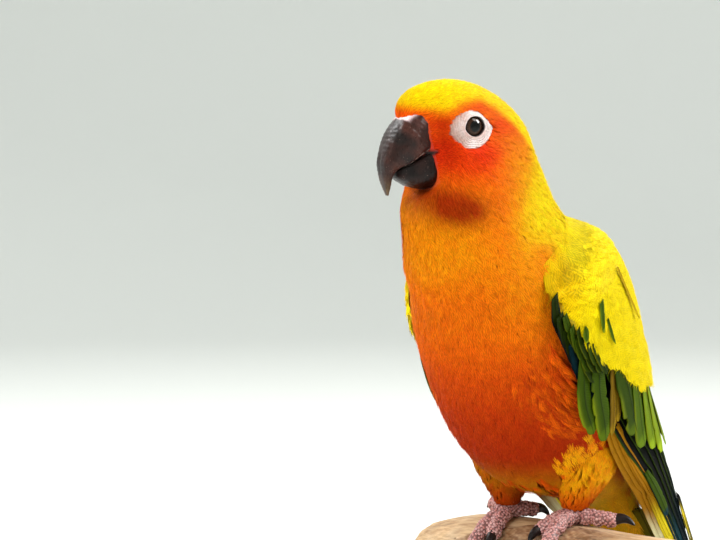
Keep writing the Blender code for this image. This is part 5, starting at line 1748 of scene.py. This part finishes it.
def wood_look(name, dark, light, grey, along, scale, roughness, coat=0.0):
    """Wood with grain along one axis, pores and weathering: bare wood has its own painted shade too."""
    look = Look(name)
    size = [1.0, 1.0, 1.0]
    size[along] = 0.07
    fibres = look.stretched(size)
    fine = look.noise(fibres, scale, 6.0, 0.65)
    broad = look.noise(fibres, scale * 0.22, 3.0, 0.5)
    patch = look.noise(look.place, 60.0, 4.0, 0.6)
    share = look.maths("MULTIPLY", look.ramp(fine, 0.30, 0.68), look.ramp(broad, 0.25, 0.7, 0.45, 1.1))
    colour = look.mix(look.ramp(patch, 0.52, 0.75, 0.0, 0.45), look.mix(share, dark, light), grey)
    bare = coat == 0.0
    if bare:
        colour = look.mix(1.0, colour, look.tint, "MULTIPLY")
    rough = look.ramp(fine, 0.3, 0.7, roughness + 0.08, roughness - 0.08)
    return look.finished(colour, rough, fine, 0.6, (0.2 if bare else 0.03) * MM,
                         Coat_Weight=coat, Coat_Roughness=0.25)


def cut_end(outline, angle, inward):
    """Rings over one sawn end of the branch, from its rim inwards, with year rings and drying cracks."""
    centre = outline.mean(0)
    rows, tints = [], []
    for share in (0.985, 0.95, 0.9, 0.84, 0.77, 0.7, 0.62, 0.54, 0.46, 0.38, 0.3, 0.22, 0.14, 0.06):
        check = np.clip(1.0 - np.abs(np.sin(angle * 2.5 + 0.4)) * 20.0 * share, 0.0, 1.0) * (share > 0.2)
        row = centre + (outline - centre) * share
        row[:, 0] += 0.8 * inward * check
        rows.append(row)
        tints.append(blend(np.full(3, 0.80 + 0.16 * math.sin(share * 60.0)), (0.2, 0.13, 0.09), check))
    return np.array(rows), np.array(tints)


def make_perch(settings):
    """The cut length of bare branch, with cracks along it, bark left in patches and rings on its ends."""
    start, end = PERCH_ENDS
    long = end - start
    bevel = np.array((0.0, 0.25, 0.9, 2.0))
    stops = np.concatenate((bevel[:3], np.linspace(2.0, long - 2.0, 230), long - bevel[2::-1]))
    inset = np.interp(stops, (*bevel, *(long - bevel[::-1])), (0.8, 0.35, 0.08, 0.0, 0.0, 0.08, 0.35, 0.8))
    x = (start + stops)[:, None]
    angle = circle(180)
    fall = np.maximum(0.0, (-20.0 - x) / 22.0) ** 1.6
    radius = PERCH_RADIUS - 0.4 * (1 - np.cos((x - 2.0) / 13.0)) * np.minimum(1.0, np.abs(x) / 30.0)
    radius = radius - 3.0 * fall
    wave = 1.0 + 0.018 * np.sin(3 * angle + 0.05 * x) * (np.sin(angle) < 0.3)
    even = np.stack(np.broadcast_arrays(x * 0.35, 20 * np.cos(angle), 20 * np.sin(angle)), -1)
    crack = np.zeros(even.shape[:2])
    rng = np.random.default_rng(settings.seed + 60)
    for _ in range(26):
        middle = rng.uniform(start, end)
        reach = rng.uniform(9.0, 34.0)
        at = rng.uniform(0.0, math.tau)
        bend = 0.06 * np.sin(x / rng.uniform(4.0, 9.0) + rng.uniform(0, 6))
        off = np.abs((angle - at - bend + math.pi) % math.tau - math.pi) * PERCH_RADIUS
        wide = 0.45 * np.clip(1.0 - ((x - middle) / reach) ** 2, 0.0, 1.0)
        crack = np.maximum(crack, np.clip(1.0 - off / np.maximum(wide, 1e-3), 0.0, 1.0) * (wide > 0.02))
    bark = smoothstep(0.15, 0.40, grain(even, 26.0, 61) + 0.12 * grain(even, 5.0, 62) - 0.75 * np.sin(angle))
    rough = 0.10 * grain(even * (0.25, 1.0, 1.0), 1.2, 63) + 0.16 * grain(even * (0.4, 1.0, 1.0), 5.0, 64)
    out = radius * wave + np.minimum(rough, 0.25) - 0.55 * crack - inset[:, None] - 0.15
    out = out + 0.5 * bark * (0.8 + 0.5 * grain(even, 2.4, 65))
    y = PERCH_Y + out * np.cos(angle)
    ring = np.stack(np.broadcast_arrays(x, y, out * np.sin(angle) - PERCH_RADIUS - 1.5 * fall), -1)
    tint = blend((1.0, 1.0, 1.0), (0.34, 0.22, 0.15), bark * np.clip(0.75 + 0.3 * grain(ring, 1.5, 66), 0, 1))
    tint = blend(tint, (0.16, 0.10, 0.07), crack) * (1.0 + 0.08 * grain(ring, 9.0, 67))[..., None]
    first, first_tint = cut_end(ring[0], angle, 1.0)
    last, last_tint = cut_end(ring[-1], angle, -1.0)
    perch = loft_object("perch_wood", np.concatenate((first[::-1], ring, last)),
                        np.concatenate((first_tint[::-1], tint, last_tint)))
    look = wood_look("bare_branch", (0.36, 0.20, 0.09), (0.78, 0.55, 0.31), (0.52, 0.44, 0.34),
                     0, 900.0, 0.72)
    return finish(perch, look, "perch", "perch_branch")


def steel_look(name):
    """Brushed steel, its lines running round the rod."""
    look = Look(name)
    line = look.noise(look.stretched((0.06, 0.06, 1.0)), 5200.0, 4.0, 0.7)
    colour = look.mix(look.ramp(line, 0.3, 0.7), (0.36, 0.36, 0.37), (0.58, 0.58, 0.59))
    return look.finished(colour, look.ramp(line, 0.3, 0.7, 0.26, 0.44), line, 0.25, 0.02 * MM, Metallic=1.0)


# Stage

def stage_look(name, colour, roughness):
    """A plain, slightly uneven colour."""
    look = Look(name)
    pale = tuple(min(1.0, c * 1.02) for c in colour)
    return look.finished(look.mix(look.noise(look.place, 3.0, 2.0), colour, pale), roughness)


CAMERA_AZIMUTH = 40.0
CAMERA_ELEVATION = 4.5
CAMERA_DISTANCE = 0.80
CAMERA_FOCAL = 2440.0       # in pixels of the photo's picture
PICTURE = (720, 540)
TARGET_PIXEL = (543, 339)
FLOOR_DROP = 0.0004


def camera_axes():
    """The camera's way back from the bird, and its right and up."""
    a = math.radians(CAMERA_AZIMUTH)
    e = math.radians(CAMERA_ELEVATION)
    back = Vector((math.sin(a) * math.cos(e), -math.cos(a) * math.cos(e), math.sin(e)))
    right = Vector((math.cos(a), math.sin(a), 0.0))
    return back, right, back.cross(right)


def make_stage(settings):
    """A pale bowl of a floor, soft light and the camera."""
    profile = [(0.8, 0.0), (1.5, 0.0)]
    for i in range(1, 17):
        turn = math.pi / 2 * i / 16
        profile.append((1.5 + 0.7 * math.sin(turn), 0.7 - 0.7 * math.cos(turn)))
    profile.append((2.2, 2.4))
    sides = 96
    points = [(r * math.cos(a), r * math.sin(a), z - FLOOR_DROP) for r, z in profile for a in circle(sides)]
    points.append((0.0, 0.0, -FLOOR_DROP))
    faces = grid_triangles(len(profile), sides, True)[:, ::-1].tolist()
    faces += [(len(points) - 1, j, (j + 1) % sides) for j in range(sides)]
    mesh = bpy.data.meshes.new("floor")
    mesh.from_pydata(points, [], faces)
    floor = bpy.data.objects.new("floor", mesh)
    bpy.context.scene.collection.objects.link(floor)
    for polygon in mesh.polygons:
        polygon.use_smooth = True
    mesh.materials.append(stage_look("pale_floor", (0.74, 0.76, 0.74), 0.8))

    back, right, up = camera_axes()
    target = Vector(to_part((0.0, -1.0, 60.0)))
    eye = Vector(to_part(head_point(EYE_FORWARD, EYE_CENTRE + EYE_RADIUS, EYE_UP)))
    for name, aim, where, size, power, colour in (
            ("key", target, back * 0.45 + right * 0.80 + up * 1.05, 0.7, 1.0, (1.0, 0.985, 0.96)),
            ("fill", target, back * 1.1 - right * 0.9 + up * 0.9, 0.9, 1.0, (0.99, 0.98, 0.98)),
            ("rim", target, back * -0.8 + right * 0.35 + up * 0.9, 0.6, 0.45, (1.0, 0.98, 0.95)),
            ("rim_left", target, back * -0.5 - right * 0.85 + up * 0.9, 0.6, 0.55, (1.0, 1.0, 1.0)),
            ("catch_light", eye, (right * 0.88 + up * 0.48) * 0.9, 0.36, 1.1, (1.0, 1.0, 1.0))):
        lamp = bpy.data.lights.new(name, "AREA")
        lamp.shape = "DISK"
        lamp.size = size
        lamp.energy = settings.key_light * power
        lamp.color = colour
        made = bpy.data.objects.new(name, lamp)
        made.location = aim + where
        made.rotation_euler = (aim - made.location).to_track_quat("-Z", "Y").to_euler()
        made.visible_glossy = name != "fill"
        made.visible_diffuse = name != "catch_light"
        bpy.context.scene.collection.objects.link(made)

    world = bpy.data.worlds.new("Pale room")
    world.use_nodes = True
    world.node_tree.nodes["Background"].inputs["Color"].default_value = (0.93, 0.97, 0.94, 1.0)
    world.node_tree.nodes["Background"].inputs["Strength"].default_value = 0.50
    bpy.context.scene.world = world
    bpy.context.scene.view_settings.view_transform = "Standard"

    camera = bpy.data.cameras.new("camera")
    camera.sensor_width = 36.0
    camera.lens = CAMERA_FOCAL / PICTURE[0] * camera.sensor_width
    camera.clip_start = 0.02
    camera.clip_end = 20.0
    seen = bpy.data.objects.new("camera", camera)
    step = CAMERA_DISTANCE / CAMERA_FOCAL
    aside = (TARGET_PIXEL[0] - PICTURE[0] / 2) * step
    below = (TARGET_PIXEL[1] - PICTURE[1] / 2) * step
    seen.location = target + back * CAMERA_DISTANCE - right * aside + up * below
    seen.rotation_euler = back.to_track_quat("Z", "Y").to_euler()
    bpy.context.scene.collection.objects.link(seen)
    bpy.context.scene.camera = seen


# Operators

def settings_of(context):
    return context.scene.conure


class CONURE_OT_skin(bpy.types.Operator):
    """Make the skin that carries the coat"""
    bl_idname = "conure.skin"
    bl_label = "Skin"

    def execute(self, context):
        make_skin(settings_of(context))
        return {"FINISHED"}


class CONURE_OT_coat(bpy.types.Operator):
    """Lay the small feathers of the head, neck, torso, thighs and flanks"""
    bl_idname = "conure.coat"
    bl_label = "Coat"

    def execute(self, context):
        settings = settings_of(context)
        look = feather_look("soft_feather", 0.66, 0.03, 0.58, 0.05, 0.10, 0.32)
        for made in lay_body_feathers(settings):
            finish(made, look, "feather_orange")
        finish(lay_thigh_feathers(settings), look, "feather_yellow")
        finish(lay_plumes(settings), look, "feather_orange")
        return {"FINISHED"}


class CONURE_OT_wings(bpy.types.Operator):
    """Make both folded wings: flesh, coverts and flight feathers"""
    bl_idname = "conure.wings"
    bl_label = "Wings"

    def execute(self, context):
        settings = settings_of(context)
        soft = feather_look("covert_feather", 0.60, 0.03, 0.70, 0.05, 0.08, 0.6)
        sleek = feather_look("flight_feather", 0.60, 0.03, 0.60, 0.05)
        flesh = skin_look("wing_skin", 0.7, 900.0, 0.2)
        for side, name in ((1, "left"), (-1, "right")):
            finish(lay_wing_coverts(settings, side), soft, "feather_yellow")
            finish(make_flight_feathers(settings, side), sleek, "feather_green", f"wing_{name}")
            finish(make_wing_core(settings, side), flesh, "feather_yellow")
        return {"FINISHED"}


class CONURE_OT_tail(bpy.types.Operator):
    """Make the tail's long feathers"""
    bl_idname = "conure.tail"
    bl_label = "Tail"

    def execute(self, context):
        look = feather_look("tail_feather", 0.50, 0.05, 0.60, 0.05)
        finish(make_tail(settings_of(context)), look, "feather_green", "tail")
        return {"FINISHED"}


class CONURE_OT_head_parts(bpy.types.Operator):
    """Make the bill, the eyes and the bare rings round them"""
    bl_idname = "conure.head_parts"
    bl_label = "Bill and eyes"

    def execute(self, context):
        settings = settings_of(context)
        make_bill(settings)
        make_eyes()
        make_eye_rings(settings)
        return {"FINISHED"}


class CONURE_OT_feet(bpy.types.Operator):
    """Make the feet and claws"""
    bl_idname = "conure.feet"
    bl_label = "Feet"

    def execute(self, context):
        make_feet(settings_of(context))
        make_claws(settings_of(context))
        return {"FINISHED"}


class CONURE_OT_perch(bpy.types.Operator):
    """Make the cut branch, and finish the base and rod of the stand"""
    bl_idname = "conure.perch"
    bl_label = "Perch and stand"

    def execute(self, context):
        make_perch(settings_of(context))
        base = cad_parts["stand_base"]
        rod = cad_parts["stand_rod"]
        base.data.materials.clear()
        base.data.materials.append(wood_look(
            "varnished_base", (0.035, 0.016, 0.008), (0.16, 0.075, 0.032), (0.11, 0.055, 0.028),
            1, 420.0, 0.42, 0.35))
        rod.data.materials.clear()
        rod.data.materials.append(steel_look("brushed_steel"))
        return {"FINISHED"}


class CONURE_OT_stage(bpy.types.Operator):
    """Set the floor, the lights and the camera"""
    bl_idname = "conure.stage"
    bl_label = "Stage"

    def execute(self, context):
        make_stage(settings_of(context))
        return {"FINISHED"}


OPERATORS = (CONURE_OT_stage, CONURE_OT_skin, CONURE_OT_coat, CONURE_OT_wings, CONURE_OT_tail,
             CONURE_OT_head_parts, CONURE_OT_feet, CONURE_OT_perch)


class CONURE_PT_panel(bpy.types.Panel):
    """The pieces of the bird, in the order in which they are made"""
    bl_idname = "CONURE_PT_panel"
    bl_label = "Sun Conure"
    bl_space_type = "VIEW_3D"
    bl_region_type = "UI"
    bl_category = "Conure"

    def draw(self, context):
        settings = settings_of(context)
        for name in settings.bl_rna.properties.keys():
            if name not in ("rna_type", "name"):
                self.layout.prop(settings, name)
        for operator in OPERATORS:
            self.layout.operator(operator.bl_idname)


CLASSES = (ConureSettings, *OPERATORS, CONURE_PT_panel)


def register():
    for cls in CLASSES:
        bpy.utils.register_class(cls)
    bpy.types.Scene.conure = PointerProperty(type=ConureSettings)


def unregister():
    del bpy.types.Scene.conure
    for cls in reversed(CLASSES):
        bpy.utils.unregister_class(cls)


def main():
    register()
    for operator in OPERATORS:
        group, name = operator.bl_idname.split(".")
        getattr(getattr(bpy.ops, group), name)()


if __name__ == "__main__":
    main()
